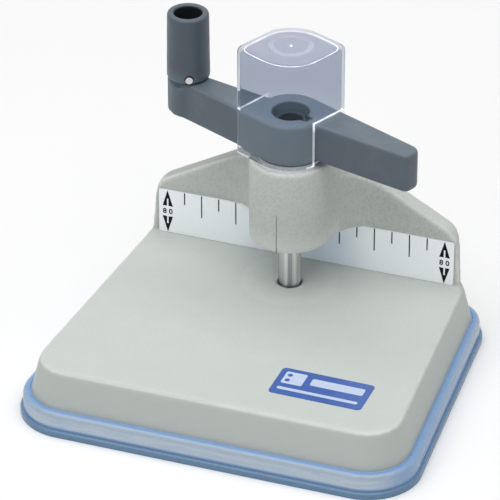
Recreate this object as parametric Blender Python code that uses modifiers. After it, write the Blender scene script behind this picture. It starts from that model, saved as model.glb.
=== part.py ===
"""Paper drill punch: a small desk-top paper drill with a hand crank.

A tubular drill is fed down through a stack of paper by a hollow screw, which a two-armed handle turns.
The casting's table carries the paper, the gauge plate in front of its wall sets the margin, and the
chips rise through the screw into a clear cap. Metres, +Z up, the rest face at z = 0, the front at -Y.
"""
from math import atan2, cos, pi, radians, sin, sqrt, tan

import bmesh
import bpy
from mathutils import Matrix, Vector

MM = 0.001

# Fineness of round shapes
CORNER_STEPS = 5
EDGE_STEPS = 3
BOSS_STEPS = 22
TURN_STEPS = 40
ROD_STEPS = 24

# Gaps and overruns
FIT = 0.3 * MM          # between pieces that touch on the real machine
PIN_FIT = 0.15 * MM     # round the small pin
OVERRUN = 3.0 * MM      # how far a cutter runs past the face that it opens
WELD = 0.004 * MM       # points this close are one
SINK = 1.5 * MM         # how far a joined lump reaches into the piece that carries it

# Table of the casting, measured from the face of the gauge plate
FRONT_HALF = 50.8 * MM
SIDE_TAPER = 5.1 * MM    # how much less the half width is at the gauge plate
TABLE_FRONT = 76.2 * MM
TABLE_REAR = 6.0 * MM
FRONT_CORNER = 9.4 * MM
REAR_CORNER = 6.5 * MM
TABLE_EDGE = 1.0 * MM
TABLE_THICK = 3.0 * MM
SKIRT_H = 10.2 * MM     # table top to the cover's ledge
SKIRT_OUT = 2.3 * MM    # how far the drafted sides spread on the way down
SKIRT_WALL = 2.6 * MM
RIB_THICK = 2.0 * MM
RIB_H = 5.5 * MM
RIB_X = 22.0 * MM
CROSS_RIB_Y = 42.0 * MM

# Bottom cover
FLANGE_H = 1.9 * MM
FLANGE_OUT = 0.8 * MM
FLANGE_EDGE = 0.4 * MM
COVER_RIM_H = 4.8 * MM
COVER_RIM = 1.9 * MM
COVER_EDGE = 1.3 * MM
COVER_FLOOR = 2.2 * MM
COVER_PAD_H = 3.0 * MM
COVER_PAD_R = 5.2 * MM

# Back wall and boss, heights above the table
MARGIN = 12.0 * MM      # plate face to drill axis
WALL_LIP = 0.5 * MM     # how far the wall stands proud of the plate
WALL_BACK = 5.0 * MM
WALL_INSET = 1.0 * MM
WALL_EDGE = 0.7 * MM
END_DRAFT = radians(5.2)
SHOULDER_SLOPE = radians(28.8)
SHOULDER_H = 34.0 * MM  # where the slope would meet the boss
SHOULDER_ROUND = 6.0 * MM
BOSS_COVE = 4.0 * MM
BOSS_R = 11.1 * MM
BOSS_GAP = 14.5 * MM    # paper gap under the boss
BOSS_H = 24.9 * MM
BOSS_EDGE = 0.8 * MM
BOSS_SEAT = 0.15 * MM   # how far the coves start inside the boss's sides
WEB_COVE = 13.0 * MM
WEB_STEP = 0.2 * MM     # how far the webs' slopes lie below the wall's

# Gauge plate
GAUGE_INSET = 3.1 * MM   # from the table's side to the plate's end
GAUGE_H = 13.5 * MM
GAUGE_T = 0.8 * MM
GAUGE_CORNER = 0.5 * MM

# Drill, its pad and the pad's plate
DRILL_R = 3.1 * MM
DRILL_BORE = 2.35 * MM
DRILL_TIP = 1.5 * MM    # tip below the table top
DRILL_BEVEL = 2.2 * MM  # length of the inner cutting bevel
DRILL_EDGE_SHARE = 0.15  # edge left at the tip as a share of the drill's wall
HOLE_R = 3.35 * MM
PAD_LEDGE = 1.6 * MM    # metal left round the hole above the pad
PAD_R = 7.0 * MM
PAD_H = 6.0 * MM
PAD_WALL = 2.7 * MM
PAD_PLATE_L = 36.0 * MM
PAD_PLATE_W = 12.0 * MM
PAD_PLATE_T = 1.2 * MM
PAD_PLATE_CORNER = 3.0 * MM
PAD_SCREW_X = 14.0 * MM
PAD_POST_R = 3.3 * MM

# Screws under the base
SCREW_R = 1.5 * MM
SCREW_HEAD_R = 2.8 * MM
SCREW_HEAD_H = 1.7 * MM
SCREW_HEAD_EDGE = 0.6 * MM
SCREW_INSET = 10.0 * MM
SCREW_POST_R = 4.2 * MM
SCREW_UP = 8.2 * MM     # how far a cover screw reaches above its pad
PAD_SCREW_UP = 4.0 * MM

# Feed nut and what holds it
NUT_R = 6.7 * MM
NUT_H = 8.6 * MM
NECK_R = 6.3 * MM
NECK_H = 6.4 * MM
GROOVE_DEPTH = 0.6 * MM
GROOVE_H = 3.0 * MM
GROOVE_UP = 2.6 * MM    # groove's lower edge above the nut's shoulder
BORE_R = 5.3 * MM       # lower bore of the boss
NUT_SCREW_R = 2.0 * MM
NUT_SCREW_L = 6.0 * MM
KEY_SOCKET_SHARE = 0.5  # socket of a grub screw as a share of its radius
SOCKET_DEPTH_SHARE = 0.4
WASHER_R = 9.0 * MM
WASHER_T = 0.9 * MM
BUSH_H = 3.8 * MM

# Feed screw
SPINDLE_R = 4.8 * MM
SPINDLE_L = 30.8 * MM
SPINDLE_EDGE = 0.4 * MM
CHIP_BORE = 3.2 * MM
THROAT_R = 2.4 * MM
THROAT_L = 6.0 * MM
SOCKET_L = 7.5 * MM
KEYWAY_L = 17.0 * MM
KEYWAY_DEPTH = 0.9 * MM
KEY_W = 2.4 * MM
KEY_H = 3.5 * MM
KEY_OUT = 1.7 * MM      # how far the key reaches into the hub
KEY_SINK = 2.1 * MM     # key top below the hub's top
DRILL_SCREW_R = 1.2 * MM
DRILL_SCREW_UP = 3.6 * MM

# Handle: the arm frame is turned about the drill axis
HANDLE_TURN = radians(-24.5)
HUB_R = 9.5 * MM
HUB_FLAT = 9.15 * MM
HUB_LOW = 0.7 * MM      # how far the hub's collar hangs below the arms
HANDLE_H = 11.2 * MM
HANDLE_EDGE = 0.9 * MM
ARM_REACH = 38.7 * MM
ARM_ROOT = 1.3 * MM     # front edge of the right arm at the hub, towards the front
ARM_TIP = 3.4 * MM      # the same edge at the arm's end, towards the back
ARM_REAR_CORNER = 3.0 * MM
ARM_FRONT_CORNER = 1.8 * MM
ARM_WALL = 2.2 * MM
ARM_ROOF = 3.0 * MM
ARM_CORE_CORNER = 1.0 * MM
SPINDLE_GAP = 2.5 * MM  # spindle top below the hub's top, drill down
GRUB_R = 1.2 * MM
GRUB_L = 2.9 * MM

# Crank knob, places in the arm frame
KNOB_INSET = 5.8 * MM    # knob axis from the left arm's end
KNOB_Y = -5.5 * MM
KNOB_TOP_R = 5.65 * MM
KNOB_FOOT_R = 5.85 * MM
KNOB_H = 19.1 * MM
KNOB_BORE = 3.8 * MM
KNOB_EDGE = 0.6 * MM
POST_R = 3.5 * MM
POST_H = 8.0 * MM
POST_STEM_R = 3.0 * MM
POST_FLOOR = 1.6 * MM
POST_WALL = 1.9 * MM
POST_GROOVE = 0.9 * MM
PIN_R = 1.0 * MM
PIN_UP = 1.35 * MM      # pin above the knob's foot
PIN_PROUD = 0.2 * MM
PIN_TURN = radians(-43)

# Chip cap
CAP_WALL = 0.9 * MM
CAP_SKIRT = 1.1 * MM    # skirt below the arms' underside
CAP_ABOVE = 19.7 * MM   # cap top above the hub's top
CAP_EDGE = 1.6 * MM
CAP_TOP = 1.5 * MM
CAP_CORNER = 0.5 * MM
CAP_SLOT_GAP = 0.5 * MM
CAP_RING_R = 5.9 * MM
CAP_RING_IN = 4.75 * MM
CAP_RING_DEPTH = 0.4 * MM
CAP_GATE_R = 0.8 * MM    # dimple where the plastic was let into the mould
CAP_GATE_DEPTH = 0.3 * MM

# Levels worked out from the sizes above
LEDGE_Z = FLANGE_H + COVER_RIM_H
TABLE_Z = LEDGE_Z + SKIRT_H
CAST_LOW = COVER_FLOOR + FIT
TABLE_LOW = TABLE_Z - TABLE_THICK
BOSS_LOW = TABLE_Z + BOSS_GAP
BOSS_TOP = BOSS_LOW + BOSS_H
HUB_Z = BOSS_TOP + WASHER_T + 2 * FIT
ARM_Z = HUB_Z + HUB_LOW
HUB_TOP = ARM_Z + HANDLE_H
NUT_TOP = BOSS_TOP - FIT
NECK_TOP = NUT_TOP + NECK_H
SPINDLE_TOP = HUB_TOP - SPINDLE_GAP
SPINDLE_LOW = SPINDLE_TOP - SPINDLE_L
PAD_TOP = TABLE_Z - PAD_LEDGE - FIT
PAD_LOW = PAD_TOP - PAD_H
PAD_PLATE_TOP = PAD_LOW - FIT
KNOB_Z = HUB_TOP + FIT

# Places along Y, the part's middle at zero
PLATE_Y = (TABLE_FRONT - TABLE_REAR) / 2
PLATE_HALF = FRONT_HALF - SIDE_TAPER
GAUGE_L = 2 * (PLATE_HALF - GAUGE_INSET)
KNOB_X = KNOB_INSET - ARM_REACH
DRILL_Y = PLATE_Y - MARGIN

X_AXIS = Vector((1, 0, 0))
Y_AXIS = Vector((0, 1, 0))
Z_AXIS = Vector((0, 0, 1))


def clear_scene():
    """Take out whatever the file opened with."""
    for item in list(bpy.data.objects):
        bpy.data.objects.remove(item, do_unlink=True)


def collection(name):
    """A new collection in the scene."""
    group = bpy.data.collections.new(name)
    bpy.context.scene.collection.children.link(group)
    return group


clear_scene()
PARTS = collection("paper_drill_punch")
CUTTERS = collection("cutters")


def axis_empty(name, place, turn=0, parent=None):
    """An empty on a joint's axis, which carries the pieces that turn or slide on it."""
    empty = bpy.data.objects.new(name, None)
    empty.location = place
    empty.rotation_euler = (0, 0, turn)
    empty.parent = parent
    CUTTERS.objects.link(empty)
    return empty


DRILL_AXIS = axis_empty("drill_axis", (0, DRILL_Y, 0))
HANDLE_AXIS = axis_empty("handle_axis", (0, DRILL_Y, 0), HANDLE_TURN)
KNOB_AXIS = axis_empty("knob_axis", (KNOB_X, KNOB_Y, 0), parent=HANDLE_AXIS)


def added(name, mesh, parent=None):
    """A new object for a mesh, in the parts' collection and under its axis."""
    item = bpy.data.objects.new(name, mesh)
    item.parent = parent
    PARTS.objects.link(item)
    return item


def combine(item, other, operation):
    """Cut or join another object into this one, and keep the other as a hidden cutter."""
    change = item.modifiers.new(operation.lower() + "_" + other.name, "BOOLEAN")
    change.operation = operation
    change.solver = "EXACT"
    change.object = other
    weld = item.modifiers.new("weld_" + other.name, "WELD")
    weld.merge_threshold = WELD
    if other.name in PARTS.objects:
        PARTS.objects.unlink(other)
        CUTTERS.objects.link(other)
    other.hide_render = True
    other.display_type = "WIRE"


def cut(item, *others):
    for other in others:
        combine(item, other, "DIFFERENCE")


def join(item, *others):
    for other in others:
        combine(item, other, "UNION")


def finish(item, colour, roughness, metallic=0.0, transmission=0.0):
    """Give a piece its own material."""
    material = bpy.data.materials.new(item.name + "_finish")
    material.use_nodes = True
    shader = material.node_tree.nodes["Principled BSDF"]
    shader.inputs["Base Color"].default_value = (*colour, 1.0)
    shader.inputs["Roughness"].default_value = roughness
    shader.inputs["Metallic"].default_value = metallic
    shader.inputs["Transmission Weight"].default_value = transmission
    item.data.materials.clear()
    item.data.materials.append(material)
    return item


def arc(centre, radius, start, end, steps):
    """Points of an arc from one angle to another, both ends included."""
    angles = [start + (end - start) * k / steps for k in range(steps + 1)]
    return [Vector((centre[0] + radius * cos(a), centre[1] + radius * sin(a))) for a in angles]


def rounded(corners, steps=CORNER_STEPS):
    """A closed outline through corners (x, y, radius), each with a radius turned into an arc."""
    outline = []
    for i, (x, y, radius) in enumerate(corners):
        corner = Vector((x, y))
        before = (Vector(corners[i - 1][:2]) - corner).normalized()
        after = (Vector(corners[(i + 1) % len(corners)][:2]) - corner).normalized()
        if radius == 0:
            outline.append(corner)
            continue
        half = before.angle(after) / 2
        centre = corner + (before + after).normalized() * (radius / sin(half))
        first = corner + before * (radius / tan(half)) - centre
        last = corner + after * (radius / tan(half)) - centre
        start = atan2(first.y, first.x)
        turn = (atan2(last.y, last.x) - start + pi) % (2 * pi) - pi
        outline += arc(centre, radius, start, start + turn, steps)
    return outline


def grown(outline, by):
    """The outline, which runs counter-clockwise, with every side moved outwards by this much."""
    moved = []
    for i, point in enumerate(outline):
        before = (point - outline[i - 1]).normalized()
        after = (outline[(i + 1) % len(outline)] - point).normalized()
        across = Vector((before.y + after.y, -before.x - after.x))
        moved.append(point + across * (by / (1 + before.dot(after))))
    return moved


def loft(name, outline, levels, parent=None, upright=True):
    """A solid through copies of an outline: each level gives how far it is grown and its height.

    An upright loft rises along Z. Any other is drawn in X and Z and runs back along Y.
    """
    mesh = bpy.data.meshes.new(name)
    build = bmesh.new()
    rings = []
    for grow, height in levels:
        ring = grown(outline, grow)
        spots = [(p.x, p.y, height) if upright else (p.x, height, p.y) for p in ring]
        rings.append([build.verts.new(spot) for spot in spots])
    for low, high in zip(rings, rings[1:]):
        for k in range(len(outline)):
            build.faces.new((low[k - 1], low[k], high[k], high[k - 1]))
    build.faces.new(rings[0])
    build.faces.new(rings[-1])
    bmesh.ops.recalc_face_normals(build, faces=build.faces)
    if build.calc_volume(signed=True) < 0:
        bmesh.ops.reverse_faces(build, faces=build.faces)
    build.to_mesh(mesh)
    build.free()
    mesh.shade_smooth()
    mesh.set_sharp_from_angle(angle=radians(35))
    return added(name, mesh, parent)


def edge_levels(low, high, low_edge, high_edge):
    """Levels of a block whose lower and upper edges are rounded."""
    levels = []
    for k in range(EDGE_STEPS + 1):
        turn = pi / 2 * k / EDGE_STEPS
        levels.append((low_edge * (sin(turn) - 1), low + low_edge * (1 - cos(turn))))
    for k in range(EDGE_STEPS + 1):
        turn = pi / 2 * k / EDGE_STEPS
        levels.append((high_edge * (cos(turn) - 1), high - high_edge * (1 - sin(turn))))
    kept = [levels[0]]
    for level in levels[1:]:
        if level != kept[-1]:
            kept.append(level)
    return kept


def plain(low, high):
    """Levels of a block with sharp edges."""
    return [(0, low), (0, high)]


def box(name, low, high, parent=None):
    """A block between two corners."""
    mesh = bpy.data.meshes.new(name)
    build = bmesh.new()
    bmesh.ops.create_cube(build, size=1)
    low, high = Vector(low), Vector(high)
    size = high - low
    build.transform(Matrix.Translation((low + high) / 2) @ Matrix.Diagonal((*size, 1)))
    build.to_mesh(mesh)
    build.free()
    return added(name, mesh, parent)


def rod(name, radius, start, end, parent=None):
    """A round bar between two points."""
    start, end = Vector(start), Vector(end)
    mesh = bpy.data.meshes.new(name)
    build = bmesh.new()
    bmesh.ops.create_cone(build, cap_ends=True, segments=ROD_STEPS, radius1=radius, radius2=radius,
                          depth=(end - start).length)
    turn = Z_AXIS.rotation_difference(end - start).to_matrix().to_4x4()
    build.transform(Matrix.Translation((start + end) / 2) @ turn)
    build.to_mesh(mesh)
    build.free()
    mesh.shade_smooth()
    mesh.set_sharp_from_angle(angle=radians(35))
    return added(name, mesh, parent)


def turned(name, profile, parent=None, hollow=False, steps=TURN_STEPS):
    """A turned piece: the profile runs down its outer side and, where it is hollow, back up its bore."""
    mesh = bpy.data.meshes.new(name)
    count = len(profile)
    edges = [(k, k + 1) for k in range(count - 1)]
    if hollow:
        edges.append((count - 1, 0))
    mesh.from_pydata([(radius, 0, height) for radius, height in profile], edges, [])
    item = added(name, mesh, parent)
    spin = item.modifiers.new("turn", "SCREW")
    spin.axis = "Z"
    spin.angle = 2 * pi
    spin.steps = steps
    spin.render_steps = steps
    spin.use_merge_vertices = True
    spin.merge_threshold = 0.00001
    spin.use_smooth_shade = True
    return item


def plug(name, radius, low, high, parent=None, steps=ROD_STEPS):
    """A plain turned bar, for posts, discs and bores."""
    return turned(name, [(0, high), (radius, high), (radius, low), (0, low)], parent, steps=steps)


def settled(source):
    """The mesh of a piece with its modifiers applied; the piece itself is removed."""
    bpy.context.view_layer.update()
    made = source.evaluated_get(bpy.context.evaluated_depsgraph_get())
    mesh = bpy.data.meshes.new_from_object(made)
    bpy.data.objects.remove(source, do_unlink=True)
    return mesh


def copies(name, source, places):
    """One object with a copy of a piece at each place, for cutters and posts."""
    single = settled(source)
    mesh = bpy.data.meshes.new(name)
    build = bmesh.new()
    for place in places:
        single.transform(Matrix.Translation(place))
        build.from_mesh(single)
        single.transform(Matrix.Translation(-Vector(place)))
    build.to_mesh(mesh)
    build.free()
    return added(name, mesh)


def screws(name, head_low, shank_top, places):
    """Pan-head screws whose heads point down, one object at each place, all with one mesh."""
    head_top = head_low + SCREW_HEAD_H
    soft = SCREW_HEAD_R - SCREW_HEAD_EDGE
    mesh = settled(turned("screw", [
        (0, shank_top), (SCREW_R, shank_top), (SCREW_R, head_top), (SCREW_HEAD_R, head_top),
        (SCREW_HEAD_R, head_low + SCREW_HEAD_EDGE), (soft, head_low), (0, head_low)], steps=ROD_STEPS))
    for count, place in enumerate(places, 1):
        screw = added(name + "_" + str(count), mesh)
        screw.location = place
        finish(screw, (0.5, 0.5, 0.5), 0.35, 1.0)


def table_outline():
    """Outline of the table top: a trapezoid, wider at the front, with round corners."""
    spread = (FRONT_HALF - PLATE_HALF) / TABLE_FRONT
    rear_half = PLATE_HALF - spread * TABLE_REAR
    front = PLATE_Y - TABLE_FRONT
    rear = PLATE_Y + TABLE_REAR
    return rounded([
        (-FRONT_HALF, front, FRONT_CORNER), (FRONT_HALF, front, FRONT_CORNER),
        (rear_half, rear, REAR_CORNER), (-rear_half, rear, REAR_CORNER),
    ])


def screw_places(height):
    """Places of the four cover screws, inset from the table's corners."""
    front = PLATE_Y - TABLE_FRONT + SCREW_INSET
    rear = PLATE_Y + TABLE_REAR - SCREW_INSET
    front_x = FRONT_HALF - SCREW_INSET
    rear_x = PLATE_HALF - SCREW_INSET
    return [(-front_x, front, height), (front_x, front, height),
            (rear_x, rear, height), (-rear_x, rear, height)]


def pad_screw_places(height):
    """Places of the pad plate's two screws, either side of the drill."""
    return [(-PAD_SCREW_X, DRILL_Y, height), (PAD_SCREW_X, DRILL_Y, height)]


def head_profile():
    """Front view of the back wall: drafted ends, round shoulders and coves up to the boss."""
    foot_half = PLATE_HALF - WALL_INSET
    foot = TABLE_Z - SINK
    foot_x = foot_half + SINK * tan(END_DRAFT)
    boss_x = BOSS_R - BOSS_SEAT
    shoulder = TABLE_Z + SHOULDER_H
    # The slope's line and the end's line meet where the shoulder is rounded
    rise = tan(SHOULDER_SLOPE)
    lean = tan(END_DRAFT)
    end_h = (SHOULDER_H - rise * (foot_half - boss_x)) / (1 - rise * lean)
    end_x = foot_half - lean * end_h
    bend = (pi / 2 - SHOULDER_SLOPE) / 2
    crest = shoulder + BOSS_COVE * tan(bend)
    right = [
        (foot_x, foot, 0), (end_x, TABLE_Z + end_h, SHOULDER_ROUND), (boss_x, shoulder, BOSS_COVE),
        (boss_x - SINK, crest + SINK, 0),
    ]
    left = [(-x, z, radius) for x, z, radius in reversed(right)]
    return rounded(right + left)


def make_wall():
    """The back wall, its ends rounded in plan, with the recess for the gauge plate."""
    front = PLATE_Y - WALL_LIP
    back = PLATE_Y + WALL_BACK
    wall = loft("wall_shape", head_profile(), edge_levels(front, back, WALL_EDGE, WALL_EDGE), upright=False)
    ends = loft("wall_ends", table_outline(), [(-WALL_INSET, 0), (-WALL_INSET, BOSS_TOP + OVERRUN)])
    combine(wall, ends, "INTERSECT")
    recess = box(
        "gauge_recess",
        (-GAUGE_L / 2 - FIT, front - OVERRUN, TABLE_Z - SINK - OVERRUN),
        (GAUGE_L / 2 + FIT, PLATE_Y + GAUGE_T + FIT, TABLE_Z + GAUGE_H + 2 * FIT))
    cut(wall, recess)
    return wall


def make_web():
    """The coved webs that carry the boss's load into the wall, with slopes a hair below the wall's."""
    lip = PLATE_Y - WALL_LIP
    inside = lip + WALL_EDGE + SINK
    side = BOSS_R - BOSS_SEAT
    start = lip - WEB_COVE
    right = arc((side + WEB_COVE, start), WEB_COVE, pi, pi / 2, 2 * CORNER_STEPS)
    outline = [Vector((-p.x, p.y)) for p in right] + [Vector((-side - WEB_COVE, inside))]
    outline.reverse()
    outline += right + [Vector((side + WEB_COVE, inside))]
    web = loft("web_shape", outline, plain(BOSS_LOW + WEB_STEP, BOSS_TOP - BOSS_EDGE))
    slopes = loft("web_slopes", head_profile(), [(-WEB_STEP, start - OVERRUN), (-WEB_STEP, inside + OVERRUN)],
                  upright=False)
    combine(web, slopes, "INTERSECT")
    return web


def make_boss():
    """The boss: round in front, square behind where it runs into the wall."""
    back = PLATE_Y + WALL_BACK - WALL_EDGE / 2
    front = arc((0, DRILL_Y), BOSS_R, pi, 2 * pi, BOSS_STEPS)
    outline = front + [Vector((BOSS_R, back)), Vector((-BOSS_R, back))]
    return loft("boss_shape", outline, edge_levels(BOSS_LOW, BOSS_TOP, BOSS_EDGE, BOSS_EDGE))


def make_head():
    """The head: boss, webs and wall in one, with the stepped bore and the hole of the nut's screw."""
    head = make_boss()
    join(head, make_web(), make_wall())
    nut_seat = BOSS_TOP - FIT - NUT_H - FIT
    bore = turned("boss_bore", [
        (0, BOSS_TOP + OVERRUN), (NUT_R + FIT, BOSS_TOP + OVERRUN), (NUT_R + FIT, nut_seat),
        (BORE_R, nut_seat), (BORE_R, BOSS_LOW - OVERRUN), (0, BOSS_LOW - OVERRUN)], DRILL_AXIS)
    height = nut_seat + NUT_H / 2
    outside = MARGIN + WALL_BACK + OVERRUN
    side = rod("nut_screw_hole", NUT_SCREW_R + FIT, (0, NUT_R, height), (0, outside, height), DRILL_AXIS)
    cut(head, bore, side)
    return head


def make_casting():
    """Body casting: the hollow table with ribs and screw posts, and the head that stands on it."""
    levels = edge_levels(CAST_LOW, TABLE_Z, 0, TABLE_EDGE)[1:]
    levels = [(SKIRT_OUT, CAST_LOW), (SKIRT_OUT, LEDGE_Z)] + levels
    casting = loft("body_casting", table_outline(), levels)
    hollow = loft("casting_hollow", table_outline(), [
        (SKIRT_OUT - SKIRT_WALL, CAST_LOW - OVERRUN), (SKIRT_OUT - SKIRT_WALL, LEDGE_Z),
        (-SKIRT_WALL, TABLE_LOW)])
    cut(casting, hollow)

    rib_low = TABLE_LOW - RIB_H
    rear = PLATE_Y + TABLE_REAR - SKIRT_WALL / 2
    front = PLATE_Y - TABLE_FRONT + SKIRT_WALL / 2
    reach = (FRONT_HALF + PLATE_HALF) / 2
    ribs = []
    for side in (-1, 1):
        middle = side * RIB_X
        ribs.append(box("rib_long" + str(side), (middle - RIB_THICK / 2, front, rib_low),
                        (middle + RIB_THICK / 2, rear, TABLE_LOW + SINK)))
    cross = PLATE_Y - CROSS_RIB_Y
    ribs.append(box("rib_cross", (-reach, cross, rib_low), (reach, cross + RIB_THICK, TABLE_LOW + SINK)))
    join(casting, *ribs)

    post_low = COVER_FLOOR + COVER_PAD_H + FIT
    posts = copies("screw_posts", plug("post", SCREW_POST_R, post_low, TABLE_LOW + SINK), screw_places(0))
    pad_posts = copies("pad_posts", plug("post", PAD_POST_R, PAD_LOW, TABLE_LOW + SINK), pad_screw_places(0))
    cup = plug("pad_cup", PAD_R + FIT + PAD_WALL, PAD_LOW, TABLE_LOW + SINK, DRILL_AXIS, TURN_STEPS)
    join(casting, posts, pad_posts, cup)

    pocket = TABLE_Z - PAD_LEDGE
    hole = turned("table_hole", [
        (0, TABLE_Z + OVERRUN), (HOLE_R, TABLE_Z + OVERRUN), (HOLE_R, pocket),
        (PAD_R + FIT, pocket), (PAD_R + FIT, PAD_LOW - OVERRUN), (0, PAD_LOW - OVERRUN)], DRILL_AXIS)
    tap_r = SCREW_R + FIT
    taps = copies("post_holes", plug("tap", tap_r, post_low - OVERRUN, post_low + SCREW_UP), screw_places(0))
    pad_taps = copies("pad_post_holes", plug("tap", tap_r, PAD_LOW - OVERRUN, PAD_LOW + PAD_SCREW_UP),
                      pad_screw_places(0))
    cut(casting, hole, taps, pad_taps)
    join(casting, make_head())
    return finish(casting, (0.61, 0.66, 0.64), 0.45)


def make_cover():
    """Bottom cover: a soft tray round the casting's foot, with a ledge, a flange and four screw pads."""
    inner = SKIRT_OUT + FIT
    outer = inner + COVER_RIM
    flange = outer + FLANGE_OUT
    levels = [(flange, 0), (flange, FLANGE_H - FLANGE_EDGE),
              (flange - FLANGE_EDGE, FLANGE_H), (outer, FLANGE_H)]
    for k in range(EDGE_STEPS + 1):
        turn = pi / 2 * k / EDGE_STEPS
        levels.append((outer - COVER_EDGE * (1 - cos(turn)), LEDGE_Z - COVER_EDGE * (1 - sin(turn))))
    levels += [(inner, LEDGE_Z), (inner, COVER_FLOOR)]
    cover = loft("bottom_cover", table_outline(), levels)
    pad_top = COVER_FLOOR + COVER_PAD_H
    pads = copies("cover_pads", plug("pad", COVER_PAD_R, COVER_FLOOR / 2, pad_top), screw_places(0))
    join(cover, pads)
    head_r = SCREW_HEAD_R + FIT
    step = pad_top / 2
    sink = turned("sink", [
        (0, pad_top + OVERRUN), (SCREW_R + FIT, pad_top + OVERRUN), (SCREW_R + FIT, step), (head_r, step),
        (head_r, -OVERRUN), (0, -OVERRUN)], steps=ROD_STEPS)
    cut(cover, copies("cover_screw_sinks", sink, screw_places(0)))
    return finish(cover, (0.24, 0.42, 0.75), 0.35, transmission=0.4)


def make_cover_screws():
    """Four screws that hold the cover to the casting's posts."""
    pad_top = COVER_FLOOR + COVER_PAD_H
    screws("cover_screw", pad_top / 2 - FIT - SCREW_HEAD_H, pad_top + SCREW_UP, screw_places(0))


def make_gauge_plate():
    """Gauge plate: stands in the wall's recess, its face sets the margin."""
    half = GAUGE_L / 2
    low = TABLE_Z + FIT
    high = low + GAUGE_H
    outline = rounded([(-half, low, GAUGE_CORNER), (half, low, GAUGE_CORNER), (half, high, GAUGE_CORNER),
                       (-half, high, GAUGE_CORNER)], EDGE_STEPS)
    plate = loft("gauge_plate", outline, plain(PLATE_Y, PLATE_Y + GAUGE_T), upright=False)
    return finish(plate, (0.66, 0.68, 0.71), 0.3, 1.0)


def make_pad():
    """The plastic disc that the drill cuts against, and the plate and screws that hold it up."""
    pad = finish(plug("drill_pad", PAD_R, PAD_LOW, PAD_TOP, DRILL_AXIS, TURN_STEPS), (0.8, 0.8, 0.78), 0.5)
    half, wide = PAD_PLATE_L / 2, PAD_PLATE_W / 2
    outline = rounded([
        (-half, DRILL_Y - wide, PAD_PLATE_CORNER), (half, DRILL_Y - wide, PAD_PLATE_CORNER),
        (half, DRILL_Y + wide, PAD_PLATE_CORNER), (-half, DRILL_Y + wide, PAD_PLATE_CORNER)])
    plate_low = PAD_PLATE_TOP - PAD_PLATE_T
    plate = loft("pad_plate", outline, plain(plate_low, PAD_PLATE_TOP))
    hole = plug("hole", SCREW_R + FIT, plate_low - OVERRUN, PAD_PLATE_TOP + OVERRUN)
    cut(plate, copies("pad_plate_holes", hole, pad_screw_places(0)))
    finish(plate, (0.45, 0.45, 0.46), 0.4, 1.0)
    head_low = plate_low - FIT - SCREW_HEAD_H
    screws("pad_plate_screw", head_low, PAD_LOW + PAD_SCREW_UP - FIT, pad_screw_places(0))
    return pad


def socketed(item, radius, mouth, inward, depth, parent):
    """Sink a key socket into the outer end of a grub screw."""
    mouth, inward = Vector(mouth), Vector(inward)
    socket = rod(item.name + "_socket", radius * KEY_SOCKET_SHARE, mouth - inward * OVERRUN,
                 mouth + inward * depth, parent)
    cut(item, socket)
    return item


def make_nut():
    """Feed nut in the boss: its neck stands up into the hub, with a groove that holds the handle down."""
    low = NUT_TOP - NUT_H
    groove_low = NUT_TOP + GROOVE_UP
    groove_r = NECK_R - GROOVE_DEPTH
    nut = turned("feed_nut", [
        (NECK_R, NECK_TOP), (NECK_R, groove_low + GROOVE_H), (groove_r, groove_low + GROOVE_H),
        (groove_r, groove_low), (NECK_R, groove_low), (NECK_R, NUT_TOP), (NUT_R, NUT_TOP), (NUT_R, low),
        (SPINDLE_R + FIT, low), (SPINDLE_R + FIT, NECK_TOP)], DRILL_AXIS, hollow=True)
    finish(nut, (0.62, 0.45, 0.18), 0.3, 1.0)
    height = low - FIT + NUT_H / 2
    tip = NUT_R + FIT
    end = tip + NUT_SCREW_L
    screw = rod("nut_set_screw", NUT_SCREW_R, (0, tip, height), (0, end, height), DRILL_AXIS)
    socketed(screw, NUT_SCREW_R, (0, end, height), -Y_AXIS, NUT_SCREW_L * SOCKET_DEPTH_SHARE, DRILL_AXIS)
    finish(screw, (0.08, 0.08, 0.09), 0.4, 1.0)


def make_washer():
    """Thrust washer between the boss and the hub."""
    low = BOSS_TOP + FIT
    washer = turned("thrust_washer", [
        (WASHER_R, low + WASHER_T), (WASHER_R, low), (NECK_R + FIT, low), (NECK_R + FIT, low + WASHER_T)],
        DRILL_AXIS, hollow=True)
    return finish(washer, (0.5, 0.5, 0.5), 0.3, 1.0)


def make_bush():
    """Guide bush at the mouth of the boss, which steadies the drill."""
    low = BOSS_LOW + FIT
    outer = BORE_R - FIT
    inner = DRILL_R + FIT
    bush = turned("guide_bush", [
        (outer, low + BUSH_H), (outer, low), (inner, low), (inner, low + BUSH_H)], DRILL_AXIS, hollow=True)
    return finish(bush, (0.45, 0.33, 0.18), 0.4, 1.0)


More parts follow.
